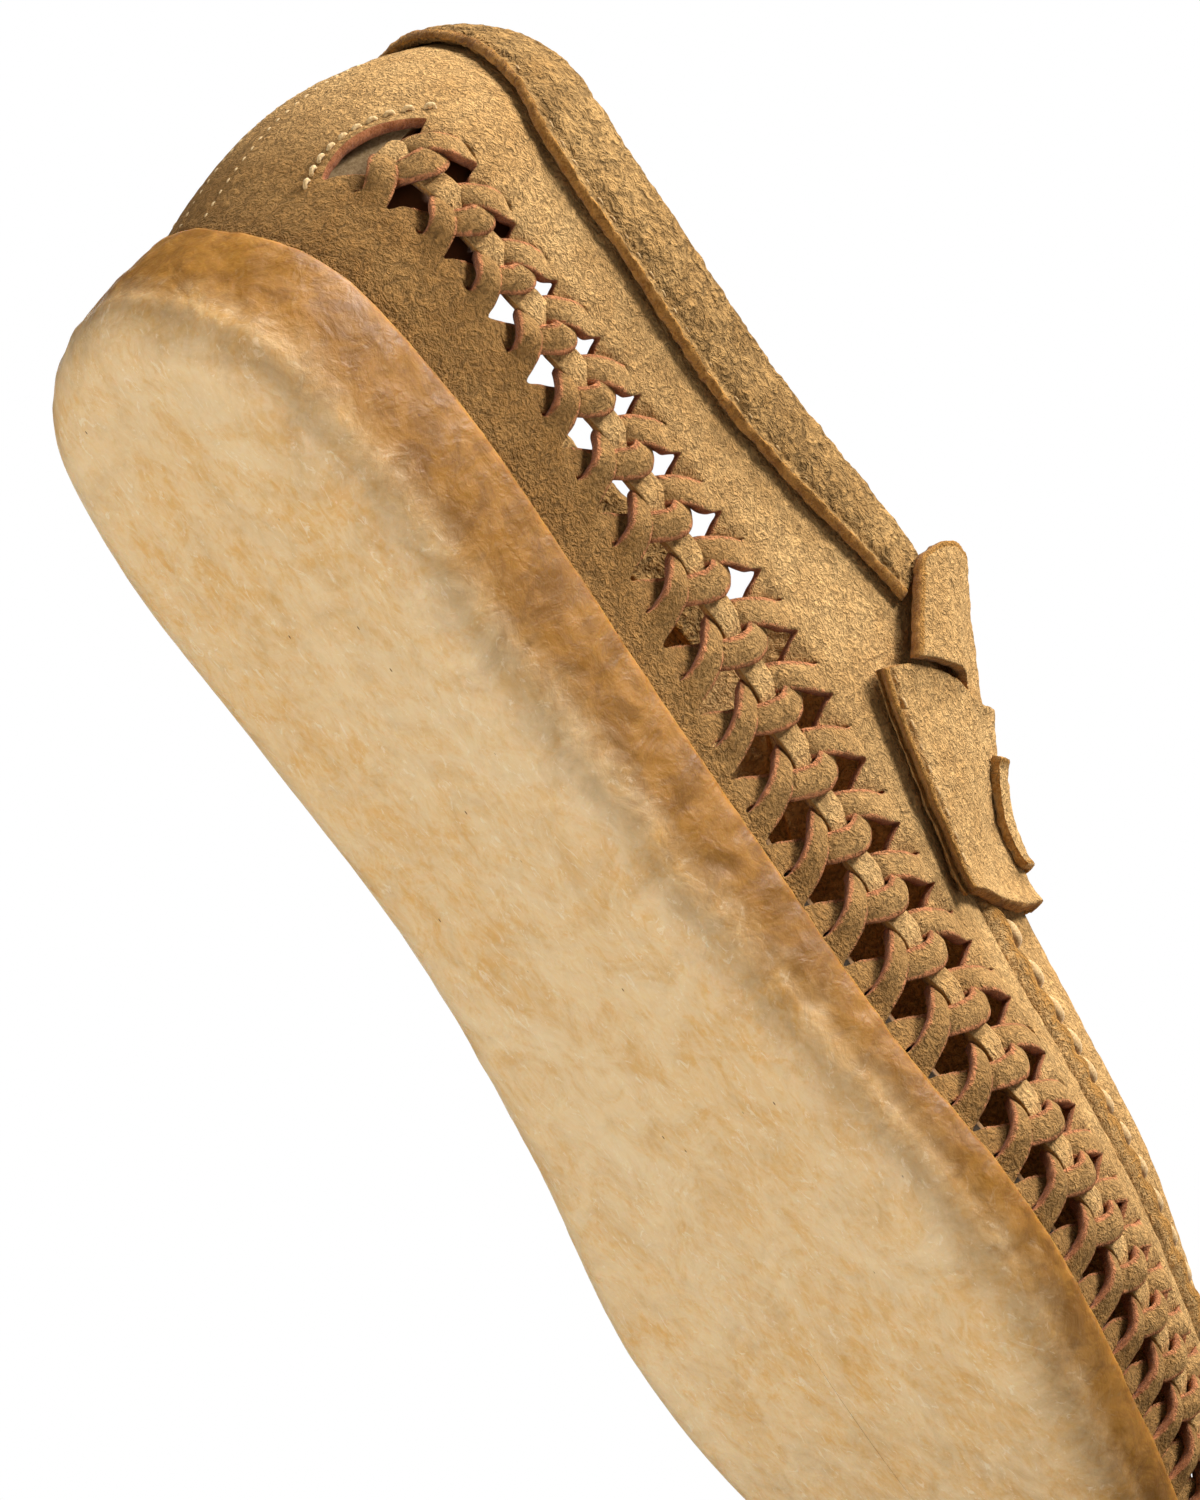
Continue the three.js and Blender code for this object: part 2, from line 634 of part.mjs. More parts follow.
function addPiece(name, geometry, color, roughness = 0.9) {
  const mesh = new THREE.Mesh(geometry, new THREE.MeshStandardMaterial({ color, roughness, metalness: 0 }));
  mesh.name = name;
  shoe.add(mesh);
}

addPiece('crepe_sole', crepeSole(), COLOUR.crepe, 0.6);
addPiece('moccasin_wrap', moccasinWrap(), COLOUR.suede);
addPiece('woven_lace', wovenLace(), COLOUR.suede);
addPiece('insole_board', layer(SLAB_INSET, boardLow, BOARD_THICK), COLOUR.board);
addPiece('footbed_foam', layer(SLAB_INSET, foamLow, FOAM_THICK), COLOUR.foam);
addPiece('sock_liner', layer(SLAB_INSET + 1, sockLow, SOCK_THICK), COLOUR.sock, 0.6);
addPiece('heel_counter', heelCounter(), COLOUR.board);
addPiece('heel_lining', heelLining(), COLOUR.lining, 0.7);
addPiece('collar_band', collarBand(), COLOUR.nap);
addPiece('collar_thread', collarThread(), COLOUR.thread);
addPiece('apron', apron(), COLOUR.suede);
addPiece('apron_thread', apronThread(), COLOUR.thread);
addPiece('saddle_strap', saddleStrap(), COLOUR.suede);
addPiece('penny_keeper', pennyKeeper(), COLOUR.suede);
addPiece('tongue', tongue(), COLOUR.suede);
for (const [side, word] of [[1, 'lateral'], [-1, 'medial']]) {
  addPiece(`back_seam_thread_${word}`, backSeamThread(side), COLOUR.thread);
  addPiece(`slit_thread_${word}`, slitThread(side), COLOUR.thread);
  addPiece(`strap_thread_${word}`, strapThread(side), COLOUR.thread);
}

export default shoe;
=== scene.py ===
"""Woven suede penny moccasin on a natural crepe sole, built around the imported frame.

Lengths are millimetres until a mesh is made. +X runs heel to toe, -Y is the lateral side, +Z is up.
Places on the upper are given as s, the distance from the heel centre round the outline (positive on
the lateral side, negative on the medial side), and v, the share of the wall's height.
"""

import math

import bmesh
import bpy
import numpy as np
from mathutils import Matrix, Vector, noise


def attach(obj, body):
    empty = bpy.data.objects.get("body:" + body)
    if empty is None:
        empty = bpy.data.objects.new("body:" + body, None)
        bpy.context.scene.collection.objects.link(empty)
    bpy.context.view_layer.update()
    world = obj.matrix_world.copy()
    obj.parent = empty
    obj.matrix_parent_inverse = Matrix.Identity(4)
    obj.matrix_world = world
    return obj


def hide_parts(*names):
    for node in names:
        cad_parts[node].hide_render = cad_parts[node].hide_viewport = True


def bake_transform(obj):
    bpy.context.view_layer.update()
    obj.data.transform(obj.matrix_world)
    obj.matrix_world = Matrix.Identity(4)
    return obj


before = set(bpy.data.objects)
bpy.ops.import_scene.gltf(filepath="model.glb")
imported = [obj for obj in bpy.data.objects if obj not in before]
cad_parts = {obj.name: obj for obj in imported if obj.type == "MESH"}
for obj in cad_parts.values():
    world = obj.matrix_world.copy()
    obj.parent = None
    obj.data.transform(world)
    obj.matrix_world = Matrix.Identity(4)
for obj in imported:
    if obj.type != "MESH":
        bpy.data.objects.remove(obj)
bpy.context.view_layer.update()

MM = 0.001

# ---------------------------------------------------------------- driving dimensions

FOOT_OUTLINE = [
    (-150, 0), (-137, -27), (-110, -34.5), (-70, -36), (-28, -38.5), (15, -44),
    (54, -49.5), (92, -41.5), (126, -26.5), (150, 6), (131, 34), (95, 46),
    (55, 48), (15, 37.5), (-28, 31), (-70, 33), (-110, 35), (-137, 27),
]

# Stations by x.
FEATHER_HEIGHT = [(-150, 27), (-90, 27), (-30, 23), (30, 17), (90, 18), (150, 22)]
WALL_TOP = [
    (-150, 98), (-110, 88.5), (-70, 88.5), (-30, 91.5), (-15, 85), (0, 76),
    (15, 66.5), (50, 57), (90, 54), (125, 53), (150, 52),
]
WALL_LEAN = [
    (-150, 8), (-110, 4.5), (-70, 6.5), (-30, 9.5), (-15, 12), (0, 15),
    (15, 18), (50, 18), (90, 15), (125, 14), (150, 14),
]
HEEL_BULGE = [(-150, 7), (-125, 3.5), (-90, 1.2), (-50, 0.3), (0, 0), (150, 0)]
APRON_CROWN = [(-24, 8), (-10, 11), (5, 13), (20, 12.5), (50, 12), (90, 9), (120, 4.5), (138, 0)]
APRON_PUFF = [(-24, 7), (0, 9.5), (45, 11), (90, 11), (120, 7), (138, 2)]

# Stations by distance from the heel centre: heights above the feather line.
BAND_LOW = [(24, 15), (50, 16), (75, 12.5), (98, 10), (122, 6), (145, 2.5), (165, 0.7), (341, 0.7)]
BAND_HIGH = [
    (27, 37), (50, 32.5), (98, 35), (122, 36), (165, 32), (195, 34), (223, 28.5), (262, 28), (341, 24),
]
COLLAR_EDGE = [(0, 64), (15, 62), (29, 56), (42, 49), (64, 46.5), (87, 47), (110, 51.3), (127, 56.5), (142, 61.3)]

LEATHER = 2.0
SEAT_DEPTH = 3.0
CREPE_OVERHANG = 2.0
TOE_SPRING = 10.0
TOE_SPRING_START = 55.0

# Weave: units of two strips each, crossing twice and passing the lace between the crossings.
WEAVE_START = 23.8
UNIT_PITCH = [(29, 11), (60, 12), (130, 11.9), (200, 11.4), (225, 10.8), (250, 9.8), (280, 8.8), (341, 8.4)]
WEAVE_SKEW = [(24, 5.6), (35, 4.6), (52, 3.8), (124, 3.2), (200, 2.6), (300, 1), (341, 0)]
STRIP_SHARE = [(0, 1), (0.04, 0.86), (0.12, 0.78), (0.5, 0.78), (0.88, 0.78), (0.96, 0.86), (1, 1)]
STRIP_OVER = [(0, 0), (0.08, 0.3), (0.24, 1.7), (0.36, 0.4), (0.5, -2.0), (0.64, 0.4), (0.77, 1.7), (0.93, 0.3), (1, 0)]
STRIP_UNDER = [(0, 0), (0.08, -0.6), (0.22, -1.6), (0.36, 0.9), (0.5, 2.1), (0.64, 0.9), (0.79, -1.6), (0.93, -0.6), (1, 0)]
STRIP_DOME = 0.8
STRIP_TILT = 0.45           # how far a strip's edges turn in and out of the wall where it crosses
STRIP_CELLS = 6
STRIP_ROWS = 26
LACE_SHARE = 0.55           # the lace's height as a share of the band's
LACE_WIDTH = 5.0
LACE_THICK = 1.6
LACE_SWING = 0.5

SEAM_ROW_OUT = 3.4          # back-seam rows: distance from the seam, and top as a share of the wall
SEAM_ROW_TOP = 0.72

COLLAR_END = 140.0
COLLAR_THICK = 1.8
COLLAR_INSIDE = 9.0

APRON_THICK = 1.8
APRON_GAP = 0.6
APRON_DROP = 1.5
APRON_PUFF_WIDTH = 8.5
APRON_START = 150.0
SEAM_PITCH = 7.4          # hand stitches between the wrap and the apron
RIDGE_WIDTH = 2.4         # the wrap's raised raw edge beside the apron
RIDGE_RISE = 1.7

# Saddle strap: a is the share of its width, from its heel edge to its toe edge.
STRAP_FROM = 145.0
STRAP_TO = 182.5
STRAP_END = [(0, 0.641), (0.29, 0.641), (0.5, 0.651), (0.71, 0.679), (1, 0.734)]
STRAP_CLIMB = (12.0, 7.0)   # how far the heel and toe edges run toward the toe on the wall
STRAP_SWEEP = (13.0, 9.0)   # and how much further at the crown
CLIMB_CURVE = 1.3
STRAP_LIFT = [(0, 1.7), (0.25, 0.9), (0.5, 0.4), (0.75, 0.1), (0.9, 0), (1, 0.2)]
STRAP_THICK = 2.2
STRAP_CLEARANCE = 0.8
KEEPER_THICK = 1.6
KEEPER_END = 0.29           # share of the strap's length at each side end
KEEPER_FROM = 0.25
KEEPER_TO = 0.8

TONGUE_THICK = 2.0
TONGUE_CROWN = (-22.0, 0.0, 18.5)   # from the strap to the tip, on the crown
TONGUE_SIDE = (-12.0, 3.8, 17.5)    # and along the side edges
TONGUE_SIDE_LOW = 0.765
TONGUE_STANDOFF = 3.2
TONGUE_LIFT = 1.0
TONGUE_ROOT = 0.05           # share of the tongue left open beside the strap
TONGUE_SMOOTHING = 120


# ---------------------------------------------------------------- curves and the wall

def along(stations, x):
    """Smooth value at x through (place, value) stations, held level past the ends."""
    places, values = np.array(stations, float).T
    slopes = np.gradient(values, places) if len(places) < 3 else np.r_[
        (values[1] - values[0]) / (places[1] - places[0]),
        (values[2:] - values[:-2]) / (places[2:] - places[:-2]),
        (values[-1] - values[-2]) / (places[-1] - places[-2]),
    ]
    x = np.clip(x, places[0], places[-1])
    i = np.clip(np.searchsorted(places, x, side="right") - 1, 0, len(places) - 2)
    step = places[i + 1] - places[i]
    t = (x - places[i]) / step
    rise = t * t * (3 - 2 * t)
    return (
        values[i] * (1 - rise) + values[i + 1] * rise
        + step * t * (1 - t) * ((1 - t) * slopes[i] - t * slopes[i + 1])
    )


def outline_table(points, per_span=200):
    """Dense closed centripetal curve through the points, and the distance along it."""
    p = np.array(points, float)
    f = np.linspace(0, 1, per_span, endpoint=False)[:, None]
    spans = []
    for k in range(len(p)):
        p0, p1, p2, p3 = (p[(k + d) % len(p)] for d in (-1, 0, 1, 2))
        d0, d1, d2 = (math.sqrt(np.linalg.norm(b - a)) for a, b in ((p0, p1), (p1, p2), (p2, p3)))
        m1 = ((p1 - p0) / d0 - (p2 - p0) / (d0 + d1) + (p2 - p1) / d1) * d1
        m2 = ((p2 - p1) / d1 - (p3 - p1) / (d1 + d2) + (p3 - p2) / d2) * d1
        spans.append(
            (2 * f**3 - 3 * f**2 + 1) * p1 + (f**3 - 2 * f**2 + f) * m1
            + (3 * f**2 - 2 * f**3) * p2 + (f**3 - f**2) * m2
        )
    curve = np.vstack(spans + [p[:1]])
    distance = np.r_[0, np.cumsum(np.linalg.norm(np.diff(curve, axis=0), axis=1))]
    return curve, distance


OUTLINE, DISTANCE = outline_table(FOOT_OUTLINE)
PERIMETER = DISTANCE[-1]
HALF = PERIMETER / 2
TANGENT = np.roll(OUTLINE[:-1], -1, axis=0) - np.roll(OUTLINE[:-1], 1, axis=0)
TANGENT = np.vstack([TANGENT, TANGENT[:1]])
TANGENT /= np.linalg.norm(TANGENT, axis=1)[:, None]
ROUND_STEP = 0.004 * PERIMETER
RISE_STEP = 0.004


def at_distance(table, s):
    return np.stack([np.interp(np.mod(s, PERIMETER), DISTANCE, column) for column in table.T], -1)


def outline(s, outward=0.0):
    """Plan position on the outline at s, moved outward."""
    tangent = at_distance(TANGENT, s)
    normal = np.stack([tangent[..., 1], -tangent[..., 0]], -1)
    return at_distance(OUTLINE, s) + normal * np.asarray(outward, float)[..., None]


def unit(vectors):
    return vectors / np.maximum(np.linalg.norm(vectors, axis=-1, keepdims=True), 1e-9)


def feather(s):
    return along(FEATHER_HEIGHT, outline(s)[..., 0])


def height(s):
    return along(WALL_TOP, outline(s)[..., 0]) - feather(s)


def wall_face(s, v):
    x = outline(s)[..., 0]
    bulge = along(HEEL_BULGE, x) * np.sin(math.pi * v * 0.92)
    plan = outline(s, bulge - along(WALL_LEAN, x) * v * v)
    low = along(FEATHER_HEIGHT, x)
    return np.concatenate([plan, (low + (along(WALL_TOP, x) - low) * v)[..., None]], -1)


def wall(s, v, depth=0.0, lift=0.0):
    """Point on the outside of the upper, moved outward by depth and up by lift."""
    s, v, depth, lift = np.broadcast_arrays(*(np.asarray(a, float) for a in (s, v, depth, lift)))
    around = wall_face(s + ROUND_STEP, v) - wall_face(s - ROUND_STEP, v)
    up = wall_face(s, v + RISE_STEP) - wall_face(s, v - RISE_STEP)
    point = wall_face(s, v) + unit(np.cross(around, up)) * depth[..., None]
    point[..., 2] += lift
    return point


def band(stations, s):
    """Height share of a line of the band."""
    return along(stations, np.abs(s)) / height(s)


def toe_rise(x):
    return TOE_SPRING * np.clip((x - TOE_SPRING_START) / (150 - TOE_SPRING_START), 0, 1) ** 2


# ---------------------------------------------------------------- meshes

def grid_faces(rows, columns, ring=False, start=0):
    """Quads of a grid whose vertices run along each row. Faces turn the way of column x row."""
    i, j = np.mgrid[0:rows - 1, 0:columns - (0 if ring else 1)]
    a = i * columns + j
    b = i * columns + (j + 1) % columns
    quads = np.stack([a, b, b + columns, a + columns], -1).reshape(-1, 4)
    return (quads + start).tolist()


def piece(name, points, faces, materials, replaces=(), slot=None, body="shoe", edge=None, shade=None):
    """Mesh object from points in millimetres, riding on a body.

    edge marks raw leather, red below 0; shade marks where painted shade darkens the nap.
    """
    mesh = bpy.data.meshes.new(name)
    mesh.from_pydata((np.asarray(points, float).reshape(-1, 3) * MM).tolist(), [], faces)
    mesh.polygons.foreach_set("use_smooth", [True] * len(mesh.polygons))
    for mark, values in (("edge", edge), ("shade", shade)):
        if values is not None:
            attribute = mesh.attributes.new(mark, "FLOAT", "POINT")
            attribute.data.foreach_set("value", np.asarray(values, np.float32).ravel())
    obj = bpy.data.objects.new(name, mesh)
    bpy.context.scene.collection.objects.link(obj)
    for material in materials:
        mesh.materials.append(material)
    if body:
        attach(obj, body)
    if replaces:
        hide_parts(*replaces)
    return obj


def bake(obj):
    """Applies the modifiers."""
    bpy.context.view_layer.update()
    seen = obj.evaluated_get(bpy.context.evaluated_depsgraph_get())
    mesh = bpy.data.meshes.new_from_object(seen)
    obj.modifiers.clear()
    obj.data = mesh
    return obj


def thicken(obj, thickness, offset=-1.0, rounding=0.35, levels=1):
    """Gives a sheet its thickness, with cut edges in the object's second material."""
    solid = obj.modifiers.new("thickness", "SOLIDIFY")
    solid.thickness = thickness * MM
    solid.offset = offset
    solid.use_even_offset = False
    solid.material_offset_rim = 1 if len(obj.data.materials) > 1 else 0
    solid.edge_crease_inner = solid.edge_crease_outer = 1 - rounding
    if levels:
        fine = obj.modifiers.new("fine", "SUBSURF")
        fine.levels = fine.render_levels = levels
    return bake(obj)


def grain(points, size, seed=0.0):
    """Smooth noise from -1 to 1 at points in millimetres, with lumps of about that size."""
    shift = Vector((seed, seed * 1.7, seed * 0.6))
    flat = np.asarray(points, float).reshape(-1, 3) / size
    values = np.array([noise.noise(Vector(p) + shift) for p in flat])
    return values.reshape(np.asarray(points).shape[:-1])


def roughen(obj, amount, size, seed=0.0):
    """Moves vertices along their normals by noise; amount and size in millimetres."""
    mesh = obj.data
    count = len(mesh.vertices)
    points = np.empty(count * 3)
    normals = np.empty(count * 3)
    mesh.vertices.foreach_get("co", points)
    mesh.vertices.foreach_get("normal", normals)
    points = points.reshape(-1, 3) / MM
    points += normals.reshape(-1, 3) * (grain(points, size, seed) * amount)[:, None]
    mesh.vertices.foreach_set("co", (points * MM).ravel())
    mesh.update()
    return obj


def tubes(paths, ups, radii, sides=10, twist=0.0):
    """Closed tubes along paths (n, steps, 3). ups are rough normals; radii vary along each path."""
    points, faces = [], []
    turn = np.linspace(0, 2 * math.pi, sides, endpoint=False)
    for path, up in zip(paths, ups):
        steps = len(path)
        ahead = unit(np.gradient(path, axis=0))
        side = unit(np.cross(ahead, up))
        top = np.cross(side, ahead)
        run = np.r_[0, np.cumsum(np.linalg.norm(np.diff(path, axis=0), axis=1))]
        ply = 1 + 0.16 * np.abs(np.cos(turn[None, :] - twist * run[:, None])) if twist else 1.0
        radius = (radii[:, None] * ply)[..., None]
        ring = path[:, None] + radius * (
            np.cos(turn)[None, :, None] * side[:, None] + np.sin(turn)[None, :, None] * top[:, None]
        )
        start = len(points) and sum(len(p) for p in points)
        points.append(ring.reshape(-1, 3))
        faces += grid_faces(steps, sides, ring=True, start=start)
        faces.append([start + k for k in range(sides)][::-1])
        faces.append([start + (steps - 1) * sides + k for k in range(sides)])
    return np.vstack(points), faces


def stitches(name, centres, normals, aheads, length, radius, material, sink=0.5, twist=3.2, **keys):
    """Row of short stitches: each rises out of the leather, lies on it and goes back in."""
    t = np.linspace(-1, 1, 13)
    rise = (1 - np.abs(t) ** 3.2) * (radius * 0.9 + sink * 2) - sink * 2
    paths = (
        centres[:, None] + aheads[:, None] * (t * length / 2)[None, :, None]
        + normals[:, None] * rise[None, :, None]
    )
    radii = radius * np.sqrt(np.clip(1 - 0.55 * t**4, 0.1, 1))
    points, faces = tubes(paths, normals, radii, twist=twist)
    return piece(name, points, faces, [material], **keys)


def wall_row(s, v, face):
    """Centres, normals and forward directions of points on the wall, for a stitch row."""
    centre = wall(s, v, face)
    normal = unit(wall(s, v, face + 1) - centre)
    return centre, normal, unit(np.gradient(centre, axis=0))


# ---------------------------------------------------------------- materials

class Shader:
    """Small helper for a node material whose patterns are laid out in object space."""

    def __init__(self, name):
        self.material = bpy.data.materials.new(name)
        self.material.use_nodes = True
        self.tree = self.material.node_tree
        self.principled = self.tree.nodes["Principled BSDF"]
        self.place = self.add("ShaderNodeTexCoord").outputs["Object"]

    def add(self, kind, inputs=(), **settings):
        made = self.tree.nodes.new(kind)
        for key, value in settings.items():
            setattr(made, key, value)
        for key, value in dict(inputs).items():
            self.plug(made.inputs[key], value)
        return made

    def plug(self, socket, value):
        if isinstance(value, bpy.types.NodeSocket):
            self.tree.links.new(value, socket)
        else:
            socket.default_value = value

    def stretched(self, scale, turn=(0, 0, 0)):
        return self.add("ShaderNodeMapping", {"Vector": self.place, "Scale": scale, "Rotation": turn}).outputs[0]

    def noise(self, size, detail=2.0, rough=0.5, distortion=0.0, place=None):
        """Noise with lumps of about size millimetres."""
        return self.add("ShaderNodeTexNoise", {
            "Vector": place or self.place, "Scale": 1 / (size * MM), "Detail": detail,
            "Roughness": rough, "Distortion": distortion,
        }).outputs["Fac"]

    def ramp(self, fac, low, high, to_low=0.0, to_high=1.0):
        made = self.add("ShaderNodeMapRange", {
            "Value": fac, "From Min": low, "From Max": high, "To Min": to_low, "To Max": to_high,
        }, interpolation_type="SMOOTHSTEP")
        return made.outputs[0]

    def math(self, operation, a, b=0.0):
        return self.add("ShaderNodeMath", {0: a, 1: b}, operation=operation).outputs[0]

    def grey(self, value):
        return self.add("ShaderNodeCombineColor", {0: value, 1: value, 2: value}).outputs[0]

    def mix(self, fac, a, b, blend="MIX"):
        made = self.add("ShaderNodeMix", data_type="RGBA", blend_type=blend)
        self.plug(made.inputs[0], fac)
        self.plug(made.inputs[6], a)
        self.plug(made.inputs[7], b)
        return made.outputs[2]

    def bump(self, height_value, strength, distance, normal=None):
        inputs = {"Height": height_value, "Strength": strength, "Distance": distance * MM}
        if normal:
            inputs["Normal"] = normal
        return self.add("ShaderNodeBump", inputs).outputs[0]

    def finish(self, **inputs):
        for key, value in inputs.items():
            self.plug(self.principled.inputs[key.replace("_", " ")], value)
        return self.material


def rgb(red, green, blue):
    """Linear colour with alpha from display values 0 to 255."""
    def linear(c):
        c /= 255
        return c / 12.92 if c <= 0.04045 else ((c + 0.055) / 1.055) ** 2.4
    return (linear(red), linear(green), linear(blue), 1.0)


RED_FACE = rgb(180, 116, 76)   # where the dye of a cut edge has spread onto the face
PAINTED_SHADE_TINT = rgb(188, 176, 156)    # tint of the painted shade low on the shoe


def suede(name, light, dark, edge_colour, nap=1.0, nap_size=1.5, sheen=0.2):
    """Brushed leather: cloudy colour, a nap of curled lighter and darker tufts, painted shade where the shade attribute
    is set, and raw-cut edges.
    """
    m = Shader(name)
    cloud = m.ramp(m.noise(26, 4, 0.6), 0.34, 0.66)
    patch = m.ramp(m.noise(6, 3, 0.6, 0.6), 0.3, 0.72)
    tufts = m.noise(nap_size, 3, 0.6, 1.6)
    fuzz = m.noise(nap_size * 0.4, 2, 0.6, 0.8)
    height_value = m.math("ADD", m.math("MULTIPLY", tufts, 0.7), m.math("MULTIPLY", fuzz, 0.3))
    colour = m.mix(m.math("MULTIPLY", m.math("ADD", cloud, patch), 0.5), dark, light)
    # The nap's colour follows the tufts' height, darker in the hollows and lighter on the tops, also over the cut
    # edges: partly the nap's own colour, partly painted shade and painted highlight.
    grey = m.grey(m.ramp(height_value, 0.34, 0.66, 1 - 0.42 * nap, 1 + 0.3 * nap))
    colour = m.mix(1.0, colour, grey, "MULTIPLY")
    # Painted shade: where the shade attribute is set, the nap is multiplied by the painted shade tint.
    shade = m.add("ShaderNodeAttribute", attribute_name="shade").outputs["Fac"]
    colour = m.mix(shade, colour, m.mix(1.0, colour, PAINTED_SHADE_TINT, "MULTIPLY"))
    edge = m.add("ShaderNodeAttribute", attribute_name="edge").outputs["Fac"]
    ragged = m.ramp(m.math("ADD", edge, m.math("MULTIPLY", m.math("SUBTRACT", tufts, 0.5), 1.2)), 0.35, 0.8)
    colour = m.mix(ragged, colour, m.mix(1.0, edge_colour, grey, "MULTIPLY"))
    dyed = m.math("ADD", m.math("MULTIPLY", edge, -1.0), m.math("MULTIPLY", m.math("SUBTRACT", tufts, 0.5), 0.8))
    colour = m.mix(m.ramp(dyed, 0.4, 0.7), colour, m.mix(1.0, RED_FACE, grey, "MULTIPLY"))
    return m.finish(
        Base_Color=colour, Roughness=0.95, Normal=m.bump(height_value, 1.0, 1.9 * nap),
        Specular_IOR_Level=0.1, Sheen_Weight=sheen, Sheen_Roughness=0.6, Sheen_Tint=light,
    )


def cut_edge(name, colour, dark):
    """Fibrous cut face of the leather."""
    m = Shader(name)
    fibre = m.noise(0.6, 4, 0.7, 1.0)
    patch = m.noise(3, 2)
    mixed = m.mix(m.ramp(m.math("ADD", fibre, m.math("MULTIPLY", patch, 0.4)), 0.5, 0.92), dark, colour)
    return m.finish(
        Base_Color=mixed, Roughness=0.95, Specular_IOR_Level=0.1,
        Normal=m.bump(fibre, 0.9, 0.6), Sheen_Weight=0.1,
    )


def crepe(name):
    """Natural crepe rubber: pale below, amber up the sides with painted shade toward the rim, with fine wisps and a few
    fibres.
    """
    m = Shader(name)
    where = m.add("ShaderNodeSeparateXYZ", {0: m.place}).outputs
    wisp_place = m.stretched((1, 2.0, 1.4), (0.3, 0.5, 0.6))
    cloud = m.ramp(m.noise(44, 4, 0.6, 0.6), 0.38, 0.64)
    honey = m.ramp(m.noise(11, 7, 0.72, 0.9), 0.44, 0.6)
    curd = m.ramp(m.noise(3.6, 5, 0.7, 1.2, wisp_place), 0.36, 0.62)
    wisps = m.ramp(m.noise(4.5, 6, 0.74, 1.6, wisp_place), 0.57, 0.65)
    colour = m.mix(m.math("ADD", m.math("MULTIPLY", cloud, 0.4), m.math("MULTIPLY", honey, 0.6)),
                   rgb(244, 210, 158), rgb(234, 182, 108))
    colour = m.mix(m.math("MULTIPLY", curd, 0.5), colour, rgb(246, 218, 172))
    # Darker amber up the sides toward the rim: partly the rubber's own colour, partly painted shade.
    toward_rim = m.ramp(m.math("ADD", where[2], m.math("MULTIPLY", m.noise(10, 6, 0.7, 0.8), 14 * MM)),
                        4 * MM, 22 * MM, 0.0, 1.0)
    amber = m.mix(m.ramp(m.noise(8, 6, 0.7, 1.0), 0.36, 0.64), rgb(132, 86, 20), rgb(164, 112, 36))
    colour = m.mix(toward_rim, colour, amber)
    colour = m.mix(m.math("MULTIPLY", wisps, m.math("SUBTRACT", 0.5, m.math("MULTIPLY", toward_rim, 0.46))),
                   colour, rgb(252, 234, 200))
    flecks = m.add("ShaderNodeTexVoronoi", {
        "Vector": m.stretched((1, 2.6, 1.5), (0, 0, 0.8)), "Scale": 1 / (8 * MM), "Randomness": 1.0,
    })
    speck = m.ramp(flecks.outputs["Distance"], 0.03, 0.06, 1.0, 0.0)
    rare = m.ramp(m.add("ShaderNodeSeparateColor", {0: flecks.outputs["Color"]}).outputs[0], 0.82, 0.85)
    colour = m.mix(m.math("MULTIPLY", speck, rare), colour, rgb(112, 66, 28))
    pitted = m.bump(m.noise(1.6, 4, 0.6, 0.6), 0.3, 0.5, m.bump(m.noise(6, 3, 0.5, 1.0), 0.4, 1.0))
    rough = m.ramp(m.noise(5, 3), 0.3, 0.7, 0.45, 0.65)
    return m.finish(
        Base_Color=colour, Roughness=rough, Normal=pitted, Specular_IOR_Level=0.3,
        Subsurface_Weight=0.3, Subsurface_Radius=(1.0, 0.6, 0.3), Subsurface_Scale=4 * MM,
    )


def thread(name, light, dark):
    m = Shader(name)
    fibre = m.noise(0.35, 3, 0.6, 0.5)
    return m.finish(
        Base_Color=m.mix(m.ramp(fibre, 0.3, 0.7), dark, light), Roughness=0.8,
        Normal=m.bump(fibre, 0.5, 0.15), Specular_IOR_Level=0.2, Sheen_Weight=0.2,
    )


def smooth_leather(name, light, dark):
    """Lining leather: fine pores and faint creases."""
    m = Shader(name)
    cloud = m.ramp(m.noise(18, 4, 0.6), 0.3, 0.7)
    pores = m.add("ShaderNodeTexVoronoi", {"Vector": m.place, "Scale": 1 / (0.9 * MM)}).outputs["Distance"]
    creases = m.noise(3, 5, 0.65, 0.8)
    colour = m.mix(cloud, dark, light)
    worn = m.ramp(m.noise(9, 3), 0.35, 0.75, 0.48, 0.72)
    bumps = m.bump(pores, 0.25, 0.12, m.bump(creases, 0.3, 0.4))
    return m.finish(Base_Color=colour, Roughness=worn, Normal=bumps, Specular_IOR_Level=0.3)


def filler(name, light, dark, size):
    """Board or foam inside the shoe."""
    m = Shader(name)
    bits = m.noise(size, 5, 0.7)
    return m.finish(
        Base_Color=m.mix(m.ramp(bits, 0.35, 0.65), dark, light), Roughness=0.9,
        Normal=m.bump(bits, 0.6, 0.3), Specular_IOR_Level=0.15,
    )


SUEDE = suede("suede", rgb(212, 170, 112), rgb(188, 144, 88), rgb(168, 120, 60))
NAP = suede("suede_nap", rgb(176, 138, 86), rgb(142, 106, 60), rgb(166, 116, 54), 1.3, 2.4, 0.25)
RED_EDGE = cut_edge("cut_edge_red", rgb(196, 126, 80), rgb(140, 82, 46))
GOLD_EDGE = cut_edge("cut_edge_gold", rgb(196, 142, 72), rgb(136, 88, 36))
PALE_EDGE = cut_edge("cut_edge_pale", rgb(226, 184, 122), rgb(178, 126, 62))
CREPE = crepe("crepe")
THREAD = thread("thread", rgb(210, 176, 122), rgb(158, 118, 68))
PALE_THREAD = thread("pale_thread", rgb(232, 202, 148), rgb(186, 148, 94))
HAND_THREAD = thread("hand_thread", rgb(222, 188, 134), rgb(176, 134, 80))
LINING = smooth_leather("lining_leather", rgb(128, 82, 46), rgb(92, 55, 29))
SOCK = smooth_leather("sock_leather", rgb(178, 136, 88), rgb(150, 108, 64))
BOARD = filler("board", rgb(168, 142, 104), rgb(132, 106, 72), 0.8)
FOAM = filler("foam", rgb(78, 66, 52), rgb(46, 38, 28), 1.2)


# ---------------------------------------------------------------- crepe sole

